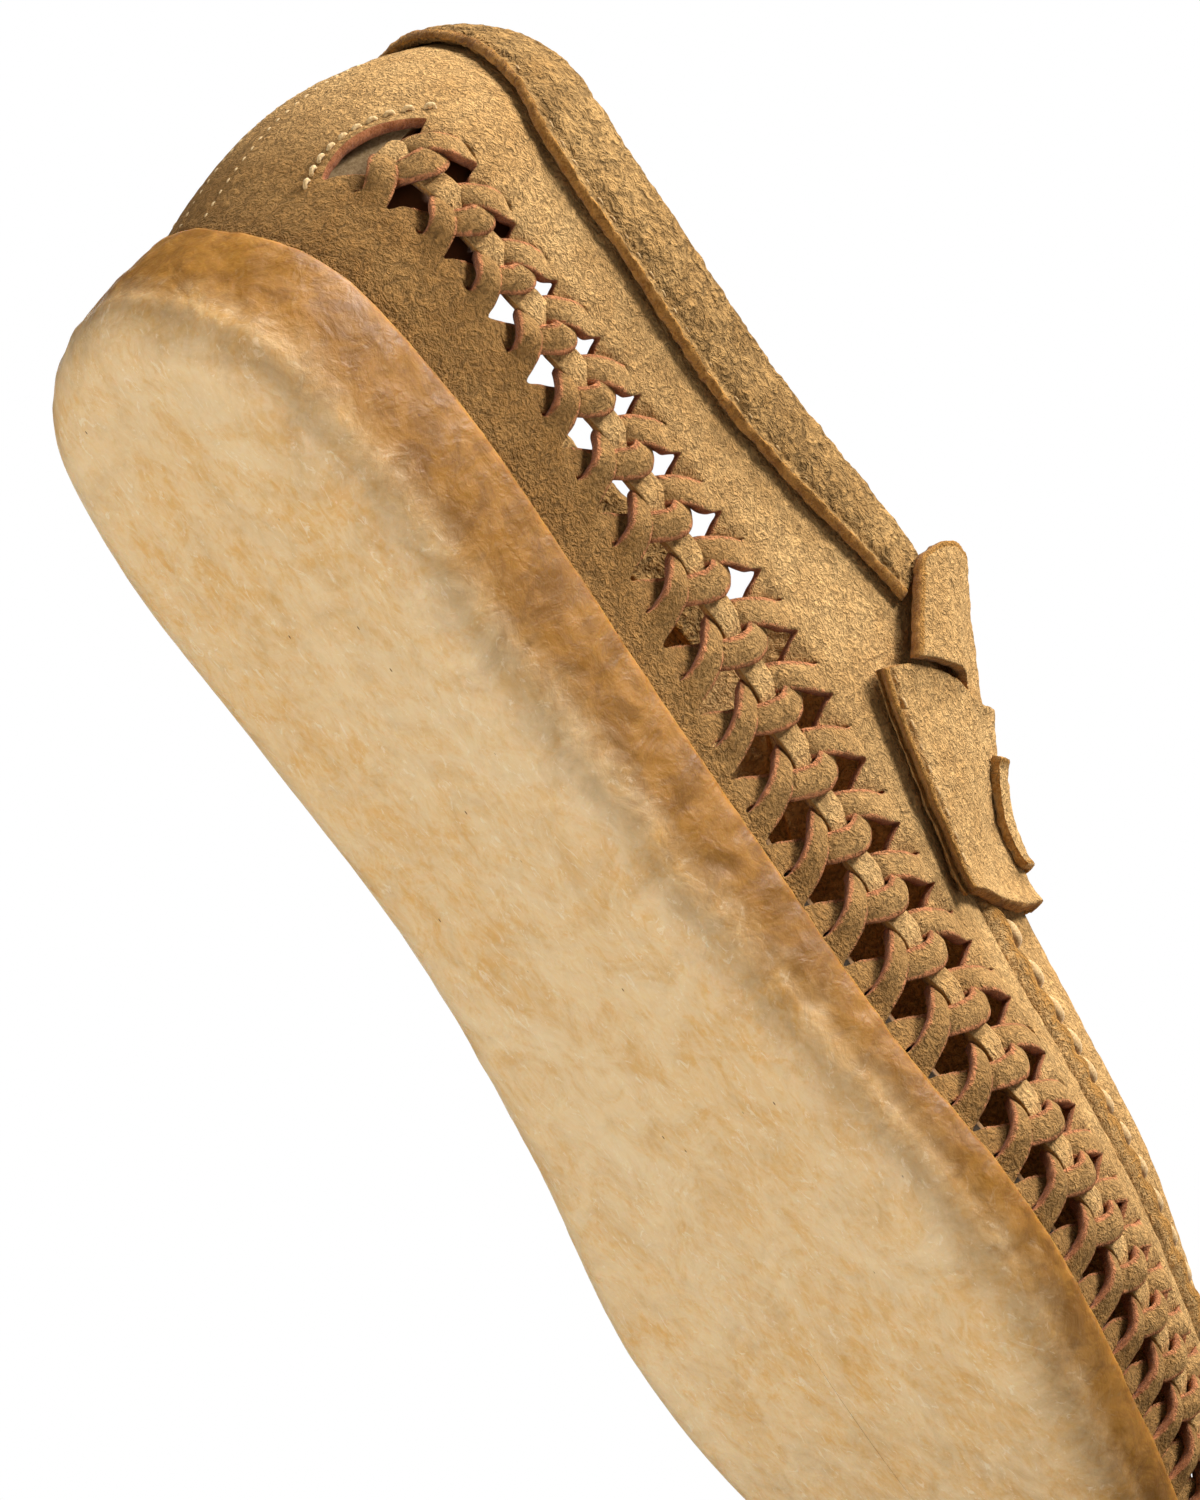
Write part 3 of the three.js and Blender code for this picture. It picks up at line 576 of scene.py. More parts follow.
def crepe_sole():
    """Block with swelling sides, a rolled lower edge and a recessed bed for the upper."""
    s = np.linspace(0, PERIMETER, 900, endpoint=False)
    x = outline(s)[:, 0]
    low = toe_rise(x)
    rim = feather(s)

    def level(outward, z):
        return np.concatenate([outline(s, outward), z[:, None]], -1)

    def folded(ring):
        return np.stack([(ring[:, 0] + ring[-np.arange(len(s)), 0]) / 2,
                         (ring[:, 1] + ring[-np.arange(len(s)), 1]) / 2, ring[:, 2]], -1)

    edge_in, edge_up = 10.0, 9.0
    floor_edge = level(-edge_in, low)
    bed_edge = level(0.4, rim - SEAT_DEPTH)
    rings = [folded(floor_edge) * (1 - f) + floor_edge * f for f in np.linspace(0, 1, 26)]
    for turn in np.linspace(0, math.pi / 2, 13)[1:]:
        rings.append(level(-edge_in + (edge_in + 0.9) * math.sin(turn), low + edge_up * (1 - math.cos(turn))))
    side = low + edge_up
    for f in np.linspace(0.1, 1, 13):
        swell = 0.9 + (CREPE_OVERHANG - 0.9) * math.sin(f * math.pi * 0.62)
        rings.append(level(swell, side + (rim - 1.2 - side) * f))
    for outward, drop in ((1.75, 0.45), (1.4, 0.1), (1.0, 0.0), (0.6, 0.25), (0.42, 1.0)):
        rings.append(level(outward, rim - drop))
    rings += [bed_edge * (1 - f) + folded(bed_edge) * f for f in np.linspace(0, 1, 8)]
    points = np.array(rings)
    lumps = 0.4 * grain(points, 3.4, 4.0) + 0.5 * grain(points, 9.0, 8.0)
    around = np.r_[0, np.ones(55), np.zeros(len(rings) - 56)][:, None]
    flat = np.clip((np.arange(len(rings)) - 27) / 7, 0, 1)[:, None]
    push = unit(points - points.mean((0, 1)))
    points = points + push * np.array([1, 1, 0.5]) * (lumps * around * flat)[..., None] * 0.8
    points[..., 2] = np.maximum(points[..., 2], 0.0)
    rows, columns = points.shape[:2]
    obj = piece("crepe_block", points, grid_faces(rows, columns, ring=True), [CREPE],
                replaces=["crepe_sole"], slot="crepe")
    return close_folds(obj)


def close_folds(obj):
    """Joins the vertices that lie folded together on the centre line, and turns the faces outward."""
    shape = bmesh.new()
    shape.from_mesh(obj.data)
    bmesh.ops.remove_doubles(shape, verts=shape.verts, dist=0.02 * MM)
    bmesh.ops.dissolve_degenerate(shape, dist=0.005 * MM, edges=shape.edges)
    bmesh.ops.recalc_face_normals(shape, faces=shape.faces)
    shape.to_mesh(obj.data)
    shape.free()
    return obj


# ---------------------------------------------------------------- woven wrap

def unit_edges():
    """Places where the weave's units meet, from the heel end of the band to the toe."""
    edges = [WEAVE_START]
    while edges[-1] < HALF - 0.5 * along(UNIT_PITCH, HALF):
        edges.append(edges[-1] + float(along(UNIT_PITCH, edges[-1])))
    edges = np.array(edges)
    return WEAVE_START + (edges - WEAVE_START) * (HALF - WEAVE_START) / (edges[-1] - WEAVE_START)


UNIT_EDGES = unit_edges()
SKEW_START = float(along(WEAVE_SKEW, WEAVE_START))


def low_place(m):
    """Where band place m falls on the lower panel's edge; the band leans toward the toe as it rises."""
    return m - np.sign(m) * along(WEAVE_SKEW, np.abs(m)) / 2 * np.clip(np.abs(m) / WEAVE_START, 0, 1)


def high_place(m):
    return m + np.sign(m) * along(WEAVE_SKEW, np.abs(m)) / 2 * np.clip(np.abs(m) / WEAVE_START, 0, 1)


def lace_height(distance):
    """Height of the lace's middle line, where the strips of each unit pass it."""
    low, high = along(BAND_LOW, distance), along(BAND_HIGH, distance)
    return low + LACE_SHARE * (high - low)


def band_columns():
    """Places of the wrap's columns on the lateral side; strips of a unit share out its columns."""
    heel = np.linspace(0, WEAVE_START, 17)[:-1]
    woven = [np.linspace(a, b, 2 * STRIP_CELLS, endpoint=False) for a, b in zip(UNIT_EDGES, UNIT_EDGES[1:])]
    return len(heel), np.concatenate([heel, *woven, [HALF]])


def ridge(s, below):
    """Outward rise of the raised edge beside the apron; below is the distance from the edge."""
    fade = np.clip((np.abs(s) - 182) / 6, 0, 1)
    hump = np.clip(1 - (below / RIDGE_WIDTH) ** 2, 0, 1) ** 0.5
    groove = 0.9 * np.exp(-(((below - RIDGE_WIDTH - 0.8) / 0.7) ** 2))
    return fade * (RIDGE_RISE * hump - groove)


def moccasin_wrap():
    """One sheet of suede: lower panel, slit strips crossing in the band, and upper panel."""
    heel_count, lateral = band_columns()
    places = np.concatenate([lateral, -lateral[1:-1][::-1]])
    columns = len(places)
    points, faces, edge, shade = [], [], [], []

    def add_rows(rows_of_points, marks, dark):
        start = sum(len(p) for p in points)
        points.append(rows_of_points.reshape(-1, 3))
        edge.append(marks.ravel())
        # dark is the amount of painted shade given to these rows.
        shade.append((dark + 0 * marks).ravel())
        return start

    # Lower panel, from the seat in the sole to the band.
    s = low_place(places)
    low_v = band(BAND_LOW, s)
    tuck = wall(s, 0.01, -0.3 - LEATHER / 2)
    tuck[:, 2] = feather(s) - SEAT_DEPTH + 1.4
    inner = tuck.copy()
    inner[:, :2] = outline(s, -8.0)
    shares = np.linspace(0, 1, 12)
    panel = wall(s[None], 0.01 + (low_v[None] - 0.01) * shares[:, None], -LEATHER / 2)
    lower = np.concatenate([inner[None], tuck[None], panel])
    # The whole lower panel gets full painted shade.
    lower_start = add_rows(lower, np.zeros(lower.shape[:2]), 1.0)
    faces += grid_faces(len(lower), columns, ring=True, start=lower_start)
    low_row = lower_start + (len(lower) - 1) * columns

    # Upper panel, from the band to the topline and to the raised edge beside the apron.
    s = high_place(places)
    high_v = band(BAND_HIGH, s)
    shares = np.r_[np.linspace(0, 0.82, 20), np.linspace(0.86, 1, 10)][:, None]
    v = high_v + (1 - high_v) * shares
    below = (1 - v) * height(s)
    wave = 0.55 * np.cos(2 * math.pi * s / SEAM_PITCH) * np.clip((np.abs(s) - 150) / 10, 0, 1)
    seam = -0.55 * np.exp(-(s / 0.9) ** 2) * np.ones_like(v)
    upper = wall(np.broadcast_to(s, v.shape), v, -LEATHER / 2 + ridge(s, below) + seam,
                 wave * np.exp(-(below / 3) ** 2))
    marks = np.clip((np.abs(s) - 182) / 6, 0, 1) * np.clip(1.4 - below / (RIDGE_WIDTH * 0.8), 0, 1)
    from_band = (v - high_v) * height(s)
    # Painted shade on the upper panel, fading out within a few millimetres above the band.
    upper_start = add_rows(upper, marks, 0.35 * np.exp(-from_band / 5))
    faces += grid_faces(len(upper), columns, ring=True, start=upper_start)

    # Heel part between the two slits.
    t = np.linspace(0, 1, 24)[1:-1]
    reach = np.r_[np.arange(-heel_count, heel_count + 1)]
    m = places[reach]
    edge_low, edge_high = low_place(WEAVE_START), high_place(WEAVE_START)
    slit = edge_low + (edge_high - edge_low) * t**1.8 - 1.9 * np.sin(math.pi * t) ** 0.7
    s = m[None] / WEAVE_START * slit[:, None]
    v = band(BAND_LOW, s) + (band(BAND_HIGH, s) - band(BAND_LOW, s)) * t[:, None]
    seam = -0.55 * np.exp(-(s / 0.9) ** 2)
    middle = wall(s, v, -LEATHER / 2 + seam + 0.9 * np.clip(np.abs(m) / WEAVE_START, 0, 1) ** 8
                  * np.sin(math.pi * t)[:, None])
    # Painted shade on the heel part, strongest at its lower end.
    middle_start = add_rows(middle, np.zeros(middle.shape[:2]), 1 - 0.9 * t[:, None])
    faces += grid_faces(len(middle), len(m), start=middle_start)
    width = len(m)
    for k in range(width - 1):
        a, b = reach[k] % columns, reach[k + 1] % columns
        first, last = middle_start + k, middle_start + (len(middle) - 1) * width + k
        faces.append([low_row + a, low_row + b, first + 1, first])
        faces.append([last, last + 1, upper_start + b, upper_start + a])

    # Strips. A pair crosses, passes the lace on either side of it, and crosses back.
    t = np.linspace(0, 1, STRIP_ROWS + 2)[1:-1]
    for side in (1, -1):
        for k in range(len(UNIT_EDGES) - 1):
            centre = (UNIT_EDGES[k] + UNIT_EDGES[k + 1]) / 2
            pitch = UNIT_EDGES[k + 1] - UNIT_EDGES[k]
            for turn, depths in ((-1, STRIP_UNDER), (1, STRIP_OVER)):
                first = heel_count + 2 * STRIP_CELLS * k + (STRIP_CELLS if turn > 0 else 0)
                across = np.arange(first, first + STRIP_CELLS + 1)
                c = np.linspace(-1, 1, STRIP_CELLS + 1)
                skew = float(along(WEAVE_SKEW, centre))
                wobble = 1 + 0.12 * noise.noise(Vector((centre * 0.37, side * 5.0, turn * 3.0)))
                s_mid = centre + skew * (t - 0.5) + turn * pitch / 4 * np.cos(2 * math.pi * t) * wobble
                lines = [(0, float(along(BAND_LOW, centre))), (0.5, float(lace_height(centre))),
                         (1, float(along(BAND_HIGH, centre)))]
                h_mid = along(lines, t)
                lean = np.arctan2(np.gradient(s_mid, t), np.gradient(h_mid, t))
                half = along(STRIP_SHARE, t) * pitch / 4
                s = s_mid[:, None] + c * (half * np.cos(lean))[:, None]
                h = h_mid[:, None] - c * (half * np.sin(lean))[:, None]
                depth = along(depths, t)[:, None] - STRIP_DOME * (c**2 - 0.4) * np.sin(math.pi * t)[:, None]
                depth = depth - STRIP_TILT * turn * c * np.sin(2 * math.pi * t)[:, None]
                s = side * s
                strip = wall(s, h / height(s), depth - LEATHER / 2)
                if side < 0:
                    across = (-across) % columns
                red = -np.clip((np.abs(c) - 0.45) / 0.45, 0, 1) * np.sin(math.pi * t[:, None]) ** 0.4
                # Painted shade on each strip, strongest at its lower end.
                start = add_rows(strip, red + np.zeros(strip.shape[:2]), 1 - 0.65 * t[:, None])
                made = grid_faces(STRIP_ROWS, STRIP_CELLS + 1, start=start)
                last = start + (STRIP_ROWS - 1) * (STRIP_CELLS + 1)
                for j in range(STRIP_CELLS):
                    a, b = int(across[j]), int(across[j + 1])
                    made.append([low_row + a, low_row + b, start + j + 1, start + j])
                    made.append([last + j, last + j + 1, upper_start + b, upper_start + a])
                faces += made if side > 0 else [face[::-1] for face in made]
    obj = piece("wrap_suede", np.vstack(points), faces, [SUEDE, RED_EDGE],
                replaces=["moccasin_wrap"], slot="suede", edge=np.concatenate(edge),
                shade=np.concatenate(shade))
    thicken(obj, LEATHER, offset=0)
    return roughen(obj, 0.16, 2.2, 3.0)


def woven_lace():
    """Flat lace that goes over one strip of each unit and under the other."""
    inner = np.concatenate([np.linspace(a, b, 16, endpoint=False) for a, b in zip(UNIT_EDGES, UNIT_EDGES[1:])])
    phase = np.tile(np.linspace(0, 1, 16, endpoint=False), len(UNIT_EDGES) - 1)
    m = np.r_[inner, HALF]
    swing = LACE_SWING * np.sin(2 * math.pi * np.r_[phase, 0])
    start = m > WEAVE_START + 0.5
    m, swing = m[start], swing[start]
    places = np.concatenate([m, -m[:-1][::-1]])
    depth = np.concatenate([swing, swing[:-1][::-1]])
    c = np.linspace(-1, 1, 6)
    middle = lace_height(np.abs(places))
    tuck = 1.2 * np.clip(1 - (np.abs(places) - WEAVE_START) / 4, 0, 1)
    rows = [
        wall(places, (middle + k * LACE_WIDTH / 2) / height(places),
             depth - LEATHER / 2 - tuck - 0.22 * k * k) for k in c
    ]
    points = np.array(rows)
    obj = piece("lace_strip", points, grid_faces(*points.shape[:2]), [SUEDE, GOLD_EDGE],
                replaces=["woven_lace"], slot="suede", edge=np.zeros(points.shape[:2]))
    thicken(obj, LACE_THICK, offset=0)
    return roughen(obj, 0.12, 1.8, 6.0)


# ---------------------------------------------------------------- heel, collar and lining

def collar_band():
    """Rough suede binding: a wide outer leg with a raw lower edge, folded over the topline."""
    s = np.linspace(-COLLAR_END, COLLAR_END, 320)
    tall = height(s)
    low = along(COLLAR_EDGE, np.abs(s)) / tall
    ragged = np.array([noise.noise(Vector((p * 0.55, 2.0, 0.0))) for p in s])
    end = np.clip((COLLAR_END - np.abs(s)) / 10, 0, 1)
    face = 0.3 + COLLAR_THICK
    back = -LEATHER - 0.3 - COLLAR_THICK
    rows, marks = [], []
    for f in np.r_[0, 0.03, 0.06, 0.1, 0.14, 0.18, np.linspace(0.24, 0.97, 13)]:
        v = low + (1 - low) * f + 0.5 * ragged * (1 - f) ** 6 / tall
        proud = 0.7 * max(0.0, 1 - f / 0.085) ** 1.2 - 0.4 * math.exp(-(((f - 0.14) / 0.045) ** 2))
        puff = 0.7 * math.sin(math.pi * f) * end
        rows.append(wall(s, v, face + proud + puff))
        marks.append(np.full(len(s), max(0.0, 1.1 - f / 0.06)))
    for turn in np.linspace(0.15, 0.85, 7) * math.pi:
        middle, radius = (face + back) / 2, (face - back) / 2
        rows.append(wall(s, 1.0, middle + radius * math.cos(turn), 0.4 + 2.0 * math.sin(turn)))
        marks.append(np.zeros(len(s)))
    for f in np.linspace(0, 1, 7):
        rows.append(wall(s, 1 - f * COLLAR_INSIDE / tall, back))
        marks.append(np.full(len(s), max(0.0, f * 3 - 2.2)))
    points = np.array(rows)
    obj = piece("collar_suede", points, grid_faces(*points.shape[:2]), [NAP, GOLD_EDGE],
                replaces=["collar_band"], slot="suede_nap", edge=np.array(marks))
    thicken(obj, COLLAR_THICK)
    roughen(obj, 0.3, 3.2, 1.0)
    return roughen(obj, 0.22, 1.1, 5.0)


def collar_stitches():
    s = np.arange(-COLLAR_END + 6, COLLAR_END - 5, 3.7)
    v = (along(COLLAR_EDGE, np.abs(s)) + 2.3) / height(s)
    stitches("collar_stitches", *wall_row(s, v, 0.3 + COLLAR_THICK - 0.45), 2.3, 0.3, THREAD,
             replaces=["collar_thread"], slot="thread")


def back_seam_stitches():
    for side, word in ((1, "lateral"), (-1, "medial")):
        h = np.arange(5, SEAM_ROW_TOP * height(0), 2.6)
        s = np.full(len(h), side * SEAM_ROW_OUT)
        stitches(f"back_seam_stitches_{word}", *wall_row(s, h / height(s), -0.35), 1.7, 0.24, PALE_THREAD,
                 replaces=[f"back_seam_thread_{word}"], slot="thread")


def slit_stitches():
    for side, word in ((1, "lateral"), (-1, "medial")):
        t = np.linspace(-0.04, 1.0, 10)
        h = 14.5 + 25 * t
        lip = 1.9 * np.sin(math.pi * np.clip(t, 0, 1)) ** 0.7
        s = side * (low_place(WEAVE_START) - 1.9 - lip + (SKEW_START + 0.4) * np.clip(t, 0, 1) ** 1.8)
        stitches(f"slit_stitches_{word}", *wall_row(s, h / height(s), 0.35), 2.0, 0.36, PALE_THREAD,
                 replaces=[f"slit_thread_{word}"], slot="thread")


def heel_lining():
    """Smooth leather behind the heel and the first openings of the weave."""
    s = np.linspace(-52, 52, 90)
    low = (7.6 + 0 * s) / height(s)
    high = 1 - 5.5 / height(s)
    shares = np.linspace(0, 1, 26)[:, None]
    v = low + (high - low) * shares
    depth = -4.3 + 0.35 * grain(wall(np.broadcast_to(s, v.shape), v), 14, 2.0)
    points = wall(np.broadcast_to(s, v.shape), v, depth)
    obj = piece("lining_leather", points, grid_faces(*points.shape[:2]), [LINING],
                replaces=["heel_lining"], slot="lining_leather")
    return thicken(obj, 1.0)


def sock_liner():
    """Thin leather sock, dished a little under the foot, its edge turned up against the wall."""
    s = np.linspace(0, PERIMETER, 300, endpoint=False)
    top = feather(s) - SEAT_DEPTH + 10.4
    rim = np.concatenate([outline(s, -5.4), top[:, None]], -1)
    spine = rim.copy()
    spine[:, :2] = (rim[:, :2] + rim[-np.arange(len(s)), :2]) / 2
    spine[:, 2] -= 1.1
    rings = [spine + (rim - spine) * f + np.array([0, 0, 1.1 * (f**3 - f)]) for f in np.linspace(0, 1, 14)]
    points = np.array(rings)
    obj = piece("sock_leather", points, grid_faces(*points.shape[:2], ring=True), [SOCK],
                replaces=["sock_liner"], slot="sock_leather")
    close_folds(obj)
    if sum(p.normal.z for p in obj.data.polygons) < 0:
        obj.data.flip_normals()
    return thicken(obj, 1.2, levels=0)


# ---------------------------------------------------------------- vamp

def apron_face(s, q):
    """Top of the apron: s picks the chord between the two sides, q runs across it."""
    s, q = np.broadcast_arrays(np.asarray(s, float), np.asarray(q, float))
    left = wall(s, 1.0, -LEATHER - APRON_GAP, -APRON_DROP)
    right = wall(-s, 1.0, -LEATHER - APRON_GAP, -APRON_DROP)
    point = left + (right - left) * q[..., None]
    toe_x = float(outline(np.array(HALF))[0])
    toe_end = np.clip((toe_x - 16 - point[..., 0]) / 16, 0, 1)
    chord = np.linalg.norm(right - left, axis=-1)
    roll = np.clip(1 - np.minimum(q, 1 - q) * chord / APRON_PUFF_WIDTH, 0, 1)
    rise = along(APRON_CROWN, point[..., 0]) * (1 - np.abs(2 * q - 1) ** 2.5)
    rise += along(APRON_PUFF, point[..., 0]) * (1 - roll**2)
    point[..., 2] += rise * (1 - (1 - toe_end) ** 2)
    return point


def apron(s, q, lift=0.0):
    """Point above the apron's face."""
    s, q, lift = np.broadcast_arrays(*(np.asarray(a, float) for a in (s, q, lift)))
    step = 0.01
    near = np.clip(q, step, 1 - step)
    around = apron_face(s + ROUND_STEP, near) - apron_face(s - ROUND_STEP, near)
    across = apron_face(s, near + step) - apron_face(s, near - step)
    return apron_face(s, q) + unit(np.cross(around, across)) * lift[..., None]


def apron_panel():
    """Puffed plug of the vamp, gathered a little at each hand stitch."""
    s = np.linspace(APRON_START, HALF - 2, 200)[:, None]
    w = np.linspace(-1, 1, 61)
    q = (0.5 + 0.5 * np.sign(w) * (1 - (1 - np.abs(w)) ** 1.5))[None, :]
    chord = np.linalg.norm(apron_face(s, 0.0) - apron_face(s, 1.0), axis=-1)
    from_edge = np.minimum(q, 1 - q) * chord
    gather = -0.5 * np.cos(2 * math.pi * s / SEAM_PITCH) * np.exp(-(from_edge / 3.5) ** 2)
    soft = 0.5 * grain(apron_face(s, q + 0 * s), 22, 9.0)
    points = apron(s, q, np.clip(gather, -0.35, 0.5) + soft * (1 - np.exp(-from_edge / 4)))
    obj = piece("apron_suede", points, grid_faces(*points.shape[:2]), [SUEDE, GOLD_EDGE],
                replaces=["apron"], slot="suede", edge=np.zeros(points.shape[:2]))
    flip = obj.data.polygons[len(obj.data.polygons) // 2].normal.z < 0
    if flip:
        obj.data.flip_normals()
    thicken(obj, APRON_THICK)
    return roughen(obj, 0.15, 2.4, 2.0)


def apron_stitches():
    """Thick hand stitches lying between the wrap's raised edge and the apron."""
    half = np.arange(STRAP_TO + 5, HALF - 3, SEAM_PITCH)
    s = np.concatenate([half, -half[::-1]])
    chord = np.linalg.norm(apron_face(s, 0.0) - apron_face(s, 1.0), axis=-1)
    centre = apron(s, np.minimum(1.7 / chord, 0.4), 0.9)
    up = unit(apron(s, np.minimum(1.7 / chord, 0.4), 2.5) - centre)
    outward = unit(wall(s, 1.0, 1.0) - wall(s, 1.0, 0.0))
    ahead = unit(apron(s + 1.0, np.minimum(1.5 / chord, 0.4)) - apron(s - 1.0, np.minimum(1.5 / chord, 0.4)))
    slant = unit(ahead * 0.93 + outward * 0.3 * np.sign(s)[:, None])
    stitches("apron_stitches", centre, unit(up + outward * 0.4), slant, 5.8, 1.25, HAND_THREAD,
             sink=0.9, twist=1.1, replaces=["apron_thread"], slot="thread")


def strap_place(a, v, q=0.0):
    """Distance along the outline under share a of the strap, at height share v and chord share q."""
    end = along(STRAP_END, a)
    climb = np.maximum((v - end) / (1 - end), 0) ** CLIMB_CURVE
    return (
        STRAP_FROM + (STRAP_TO - STRAP_FROM) * a
        + (STRAP_CLIMB[0] + (STRAP_CLIMB[1] - STRAP_CLIMB[0]) * a) * climb
        + (STRAP_SWEEP[0] + (STRAP_SWEEP[1] - STRAP_SWEEP[0]) * a) * (1 - (2 * q - 1) ** 4)
    )


def vamp_line(a, start, wall_depth, apron_lift, count):
    """Line across the vamp at share a of the strap's width, up one wall, over and down the other."""
    climb = start + (0.97 - start) * np.linspace(0, 1, 4)
    across = np.array([0.09, 0.16, 0.25, 0.37, 0.5, 0.63, 0.75, 0.84, 0.91])
    knots = np.concatenate([
        wall(strap_place(a, climb), climb, wall_depth),
        apron(strap_place(a, 1.0, across), across, apron_lift),
        wall(-strap_place(a, climb[::-1]), climb[::-1], wall_depth),
    ])
    run = np.r_[0, np.cumsum(np.linalg.norm(np.diff(knots, axis=0), axis=1))]
    at = np.linspace(0, run[-1], count)
    return np.stack([along(np.stack([run, knots[:, i]], -1), at) for i in range(3)], -1)


def face_up(obj):
    """Turns a sheet over if most of it faces down."""
    if sum(p.normal.z * p.area for p in obj.data.polygons) < 0:
        obj.data.flip_normals()
    return obj


def saddle_strap():
    """Strap over the vamp, with a rolled ridge and a stitched groove beside each side end."""
    shares = np.linspace(0, 1, 40)
    count = 220
    face = STRAP_CLEARANCE + STRAP_THICK
    rows, marks = [], []
    for a in shares:
        end = float(along(STRAP_END, a))
        lift = float(along(STRAP_LIFT, a))
        line = vamp_line(a, end, face, face + lift, count)
        above = vamp_line(a, end, face + 1, face + lift + 1, count)
        run = np.r_[0, np.cumsum(np.linalg.norm(np.diff(line, axis=0), axis=1))]
        from_end = np.minimum(run, run[-1] - run)
        roll = 0.8 * np.exp(-(((from_end - 0.7) / 0.8) ** 2)) - 0.9 * np.exp(-(((from_end - 2.6) / 0.6) ** 2))
        wave = 0.4 * noise.noise(Vector((a * 9.0, 3.0, 0.0))) * np.exp(-from_end / 12)
        curl = 0.5 * max(0.0, (a - 0.86) / 0.14) ** 2 + 0.4 * max(0.0, 1 - a / 0.1) ** 2
        rows.append(line + (above - line) * (roll + wave + curl)[:, None])
        marks.append(np.clip(1.3 - from_end / 1.7, 0, 1) + (0.6 if a in (shares[0], shares[-1]) else 0))
    points = np.array(rows)
    obj = piece("strap_suede", points, grid_faces(*points.shape[:2]), [SUEDE, GOLD_EDGE],
                replaces=["saddle_strap"], slot="suede", edge=np.clip(np.array(marks), 0, 1))
    face_up(obj)
    thicken(obj, STRAP_THICK)
    return roughen(obj, 0.22, 1.8, 7.0)


def strap_stitches():
    for side, word in ((1, "lateral"), (-1, "medial")):
        a = np.linspace(0.06, 0.94, 10)
        low = along(STRAP_END, a)
        v = low + 3.6 / height(STRAP_FROM + (STRAP_TO - STRAP_FROM) * a)
        s = strap_place(a, v) * side
        stitches(f"strap_stitches_{word}", *wall_row(s, v, STRAP_CLEARANCE + STRAP_THICK - 0.75),
                 2.5, 0.4, THREAD, replaces=[f"strap_thread_{word}"], slot="thread")


def penny_keeper():
    """Second layer of suede on the middle of the strap, with raw ends that stand a little proud."""
    shares = np.linspace(KEEPER_FROM, KEEPER_TO, 26)
    count = 80
    face = STRAP_CLEARANCE + STRAP_THICK + 0.15 + KEEPER_THICK
    reach = 0.5 - (0.5 - KEEPER_END) * np.cos(np.linspace(0, math.pi, count))
    rows, marks = [], []
    for a in shares:
        end = float(along(STRAP_END, a))
        lift = float(along(STRAP_LIFT, a))
        edge = min(a - KEEPER_FROM, KEEPER_TO - a) / 0.06
        lip = 0.4 * max(0.0, 1 - edge) ** 2
        line = vamp_line(a, end, face + lip, face + lip + lift, 200)
        at = reach * (len(line) - 1)
        rows.append(np.stack([np.interp(at, np.arange(len(line)), column) for column in line.T], -1))
        marks.append(np.clip(1 - edge, 0, 1) + 0 * reach)
    points = np.array(rows)
    obj = piece("keeper_suede", points, grid_faces(*points.shape[:2]), [SUEDE, PALE_EDGE],
                replaces=["penny_keeper"], slot="suede", edge=np.array(marks))
    face_up(obj)
    thicken(obj, KEEPER_THICK)
    return roughen(obj, 0.3, 1.6, 4.0)


def tongue():
    """Tongue that leaves the strap's heel edge and rises toward the heel to a rounded end."""
    count = 130
    root = vamp_line(0.0, TONGUE_SIDE_LOW, TONGUE_STANDOFF + TONGUE_THICK, TONGUE_LIFT + TONGUE_THICK, count)
    arch = root.copy()
    for _ in range(TONGUE_SMOOTHING):
        arch[1:-1] = (arch[:-2] + 2 * arch[1:-1] + arch[2:]) / 4
    side = np.linspace(-1, 1, count)
    way = np.array(TONGUE_CROWN) + (np.array(TONGUE_SIDE) - TONGUE_CROWN) * (side**2)[:, None]
    way[:, 1] *= -np.sign(side)
    corner = 0.06 * np.clip((np.abs(side) - 0.8) / 0.2, 0, 1) ** 2
    rows, marks = [], []
    for a in np.linspace(TONGUE_ROOT, 1, 34):
        wave = 0.02 * noise.noise(Vector((a * 2.0, 7.0, 0.0)))
        rows.append(root + (arch - root) * min(1.0, 1.6 * a) + way * (a * (1 - corner) + wave)[:, None])
        marks.append(np.clip((np.abs(side) - 0.955) / 0.03, 0, 1) + (1.0 if a > 0.97 else 0.0))
    points = np.array(rows)
    obj = piece("tongue_suede", points, grid_faces(*points.shape[:2]), [SUEDE, GOLD_EDGE],
                replaces=["tongue"], slot="suede", body=None, edge=np.clip(np.array(marks), 0, 1))
    face_up(obj)
    thicken(obj, TONGUE_THICK)
    roughen(obj, 0.25, 1.8, 9.0)
    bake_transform(obj)
    return obj


# ---------------------------------------------------------------- stage, light and camera

CAMERA_AZIMUTH = math.radians(-16.73)
CAMERA_ELEVATION = math.radians(-36.34)
CAMERA_ROLL = math.radians(44.63)
CAMERA_DISTANCE = 1.8218
CAMERA_TARGET = Vector((-0.03216, 0.0174, 0.05086))
CAMERA_LENS = 257.97


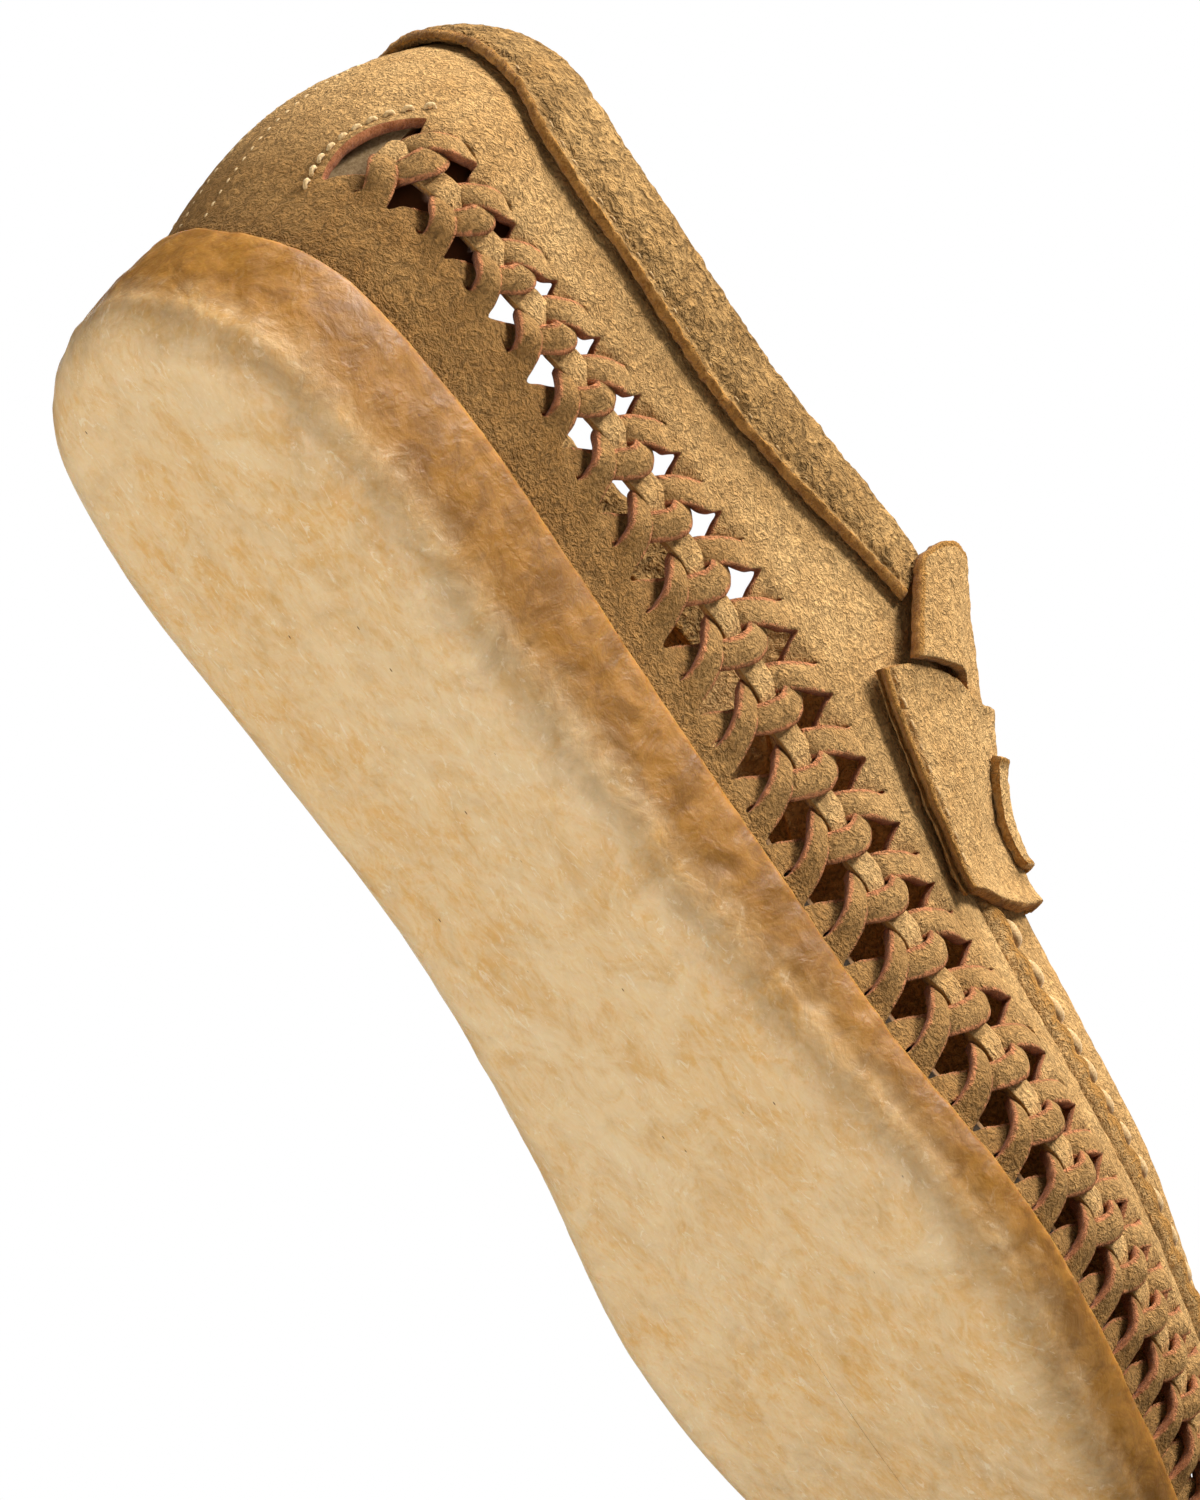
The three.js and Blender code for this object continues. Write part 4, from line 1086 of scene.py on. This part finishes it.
def stage():
    """Pale floor that fades to white far off, and turns clear when the camera is under it."""
    m = Shader("floor")
    m.finish(Base_Color=(0.86, 0.86, 0.85, 1), Roughness=0.9)
    eye = m.add("ShaderNodeVectorTransform", {0: (0, 0, 0)}, vector_type="POINT",
                convert_from="CAMERA", convert_to="WORLD").outputs[0]
    eye_height = m.add("ShaderNodeSeparateXYZ", {0: eye}).outputs[2]
    away = m.add("ShaderNodeVectorMath", {0: m.place}, operation="LENGTH").outputs["Value"]
    seen = m.add("ShaderNodeLightPath").outputs["Is Camera Ray"]
    pale = m.add("ShaderNodeMixShader", {
        0: m.math("MULTIPLY", m.ramp(away, 0.45, 1.4), seen), 1: m.principled.outputs[0],
        2: m.add("ShaderNodeEmission", {0: (1, 1, 1, 1)}).outputs[0],
    })
    mix = m.add("ShaderNodeMixShader", {
        0: m.math("LESS_THAN", eye_height, 0.0), 1: pale.outputs[0],
        2: m.add("ShaderNodeBsdfTransparent").outputs[0],
    })
    m.tree.links.new(mix.outputs[0], m.tree.nodes["Material Output"].inputs[0])
    mesh = bpy.data.meshes.new("floor")
    size = 6.0
    mesh.from_pydata([(-size, -size, 0), (size, -size, 0), (size, size, 0), (-size, size, 0)], [], [(0, 1, 2, 3)])
    mesh.materials.append(m.material)
    floor = bpy.data.objects.new("floor", mesh)
    floor.location.z = -0.0002
    bpy.context.scene.collection.objects.link(floor)

    world = bpy.data.worlds.new("studio")
    bpy.context.scene.world = world
    world.use_nodes = True
    sky = world.node_tree.nodes["Background"]
    sky.inputs["Color"].default_value = (1, 1, 1, 1)
    seen = world.node_tree.nodes.new("ShaderNodeLightPath")
    level = world.node_tree.nodes.new("ShaderNodeMapRange")
    level.inputs["To Min"].default_value = 0.2
    level.inputs["To Max"].default_value = 1.0
    world.node_tree.links.new(seen.outputs["Is Camera Ray"], level.inputs["Value"])
    world.node_tree.links.new(level.outputs[0], sky.inputs["Strength"])


def area_light(name, place, size, power, colour=(1, 1, 1)):
    """Soft box aimed at the middle of the shoe."""
    light = bpy.data.lights.new(name, "AREA")
    light.shape = "DISK"
    light.size = size
    light.energy = power
    light.color = colour
    obj = bpy.data.objects.new(name, light)
    obj.location = place
    aim = Vector((0, 0, 0.04)) - Vector(place)
    obj.rotation_euler = aim.to_track_quat("-Z", "Y").to_euler()
    bpy.context.scene.collection.objects.link(obj)


def camera():
    back = Vector((
        math.sin(CAMERA_AZIMUTH) * math.cos(CAMERA_ELEVATION),
        -math.cos(CAMERA_AZIMUTH) * math.cos(CAMERA_ELEVATION),
        math.sin(CAMERA_ELEVATION),
    ))
    right = (-back).cross(Vector((0, 0, 1))).normalized()
    up = right.cross(-back)
    turned_right = right * math.cos(CAMERA_ROLL) + up * math.sin(CAMERA_ROLL)
    turned_up = up * math.cos(CAMERA_ROLL) - right * math.sin(CAMERA_ROLL)
    data = bpy.data.cameras.new("camera")
    data.lens = CAMERA_LENS
    data.sensor_width = 36
    data.clip_end = 100
    obj = bpy.data.objects.new("camera", data)
    axes = Matrix((turned_right, turned_up, back)).transposed().to_4x4()
    obj.matrix_world = Matrix.Translation(CAMERA_TARGET + back * CAMERA_DISTANCE) @ axes
    bpy.context.scene.collection.objects.link(obj)
    bpy.context.scene.camera = obj


# ---------------------------------------------------------------- the shoe

crepe_sole()
moccasin_wrap()
woven_lace()
collar_band()
collar_stitches()
back_seam_stitches()
slit_stitches()
heel_lining()
sock_liner()
apron_panel()
apron_stitches()
saddle_strap()
strap_stitches()
penny_keeper()
tongue()
for node, material in (("insole_board", BOARD), ("footbed_foam", FOAM), ("heel_counter", BOARD)):
    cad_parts[node].data.materials.clear()
    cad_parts[node].data.materials.append(material)

stage()
area_light("key", (-0.35, -0.95, 1.25), 0.45, 34)
area_light("heel", (-0.8, -0.3, 1.3), 0.45, 24)
area_light("side", (1.3, -1.1, 0.7), 0.9, 3)
area_light("under", (-0.35, -0.25, -1.5), 1.0, 17)
area_light("back", (0.2, 1.4, 1.0), 1.0, 8)
camera()
bpy.context.scene.view_settings.view_transform = "Standard"
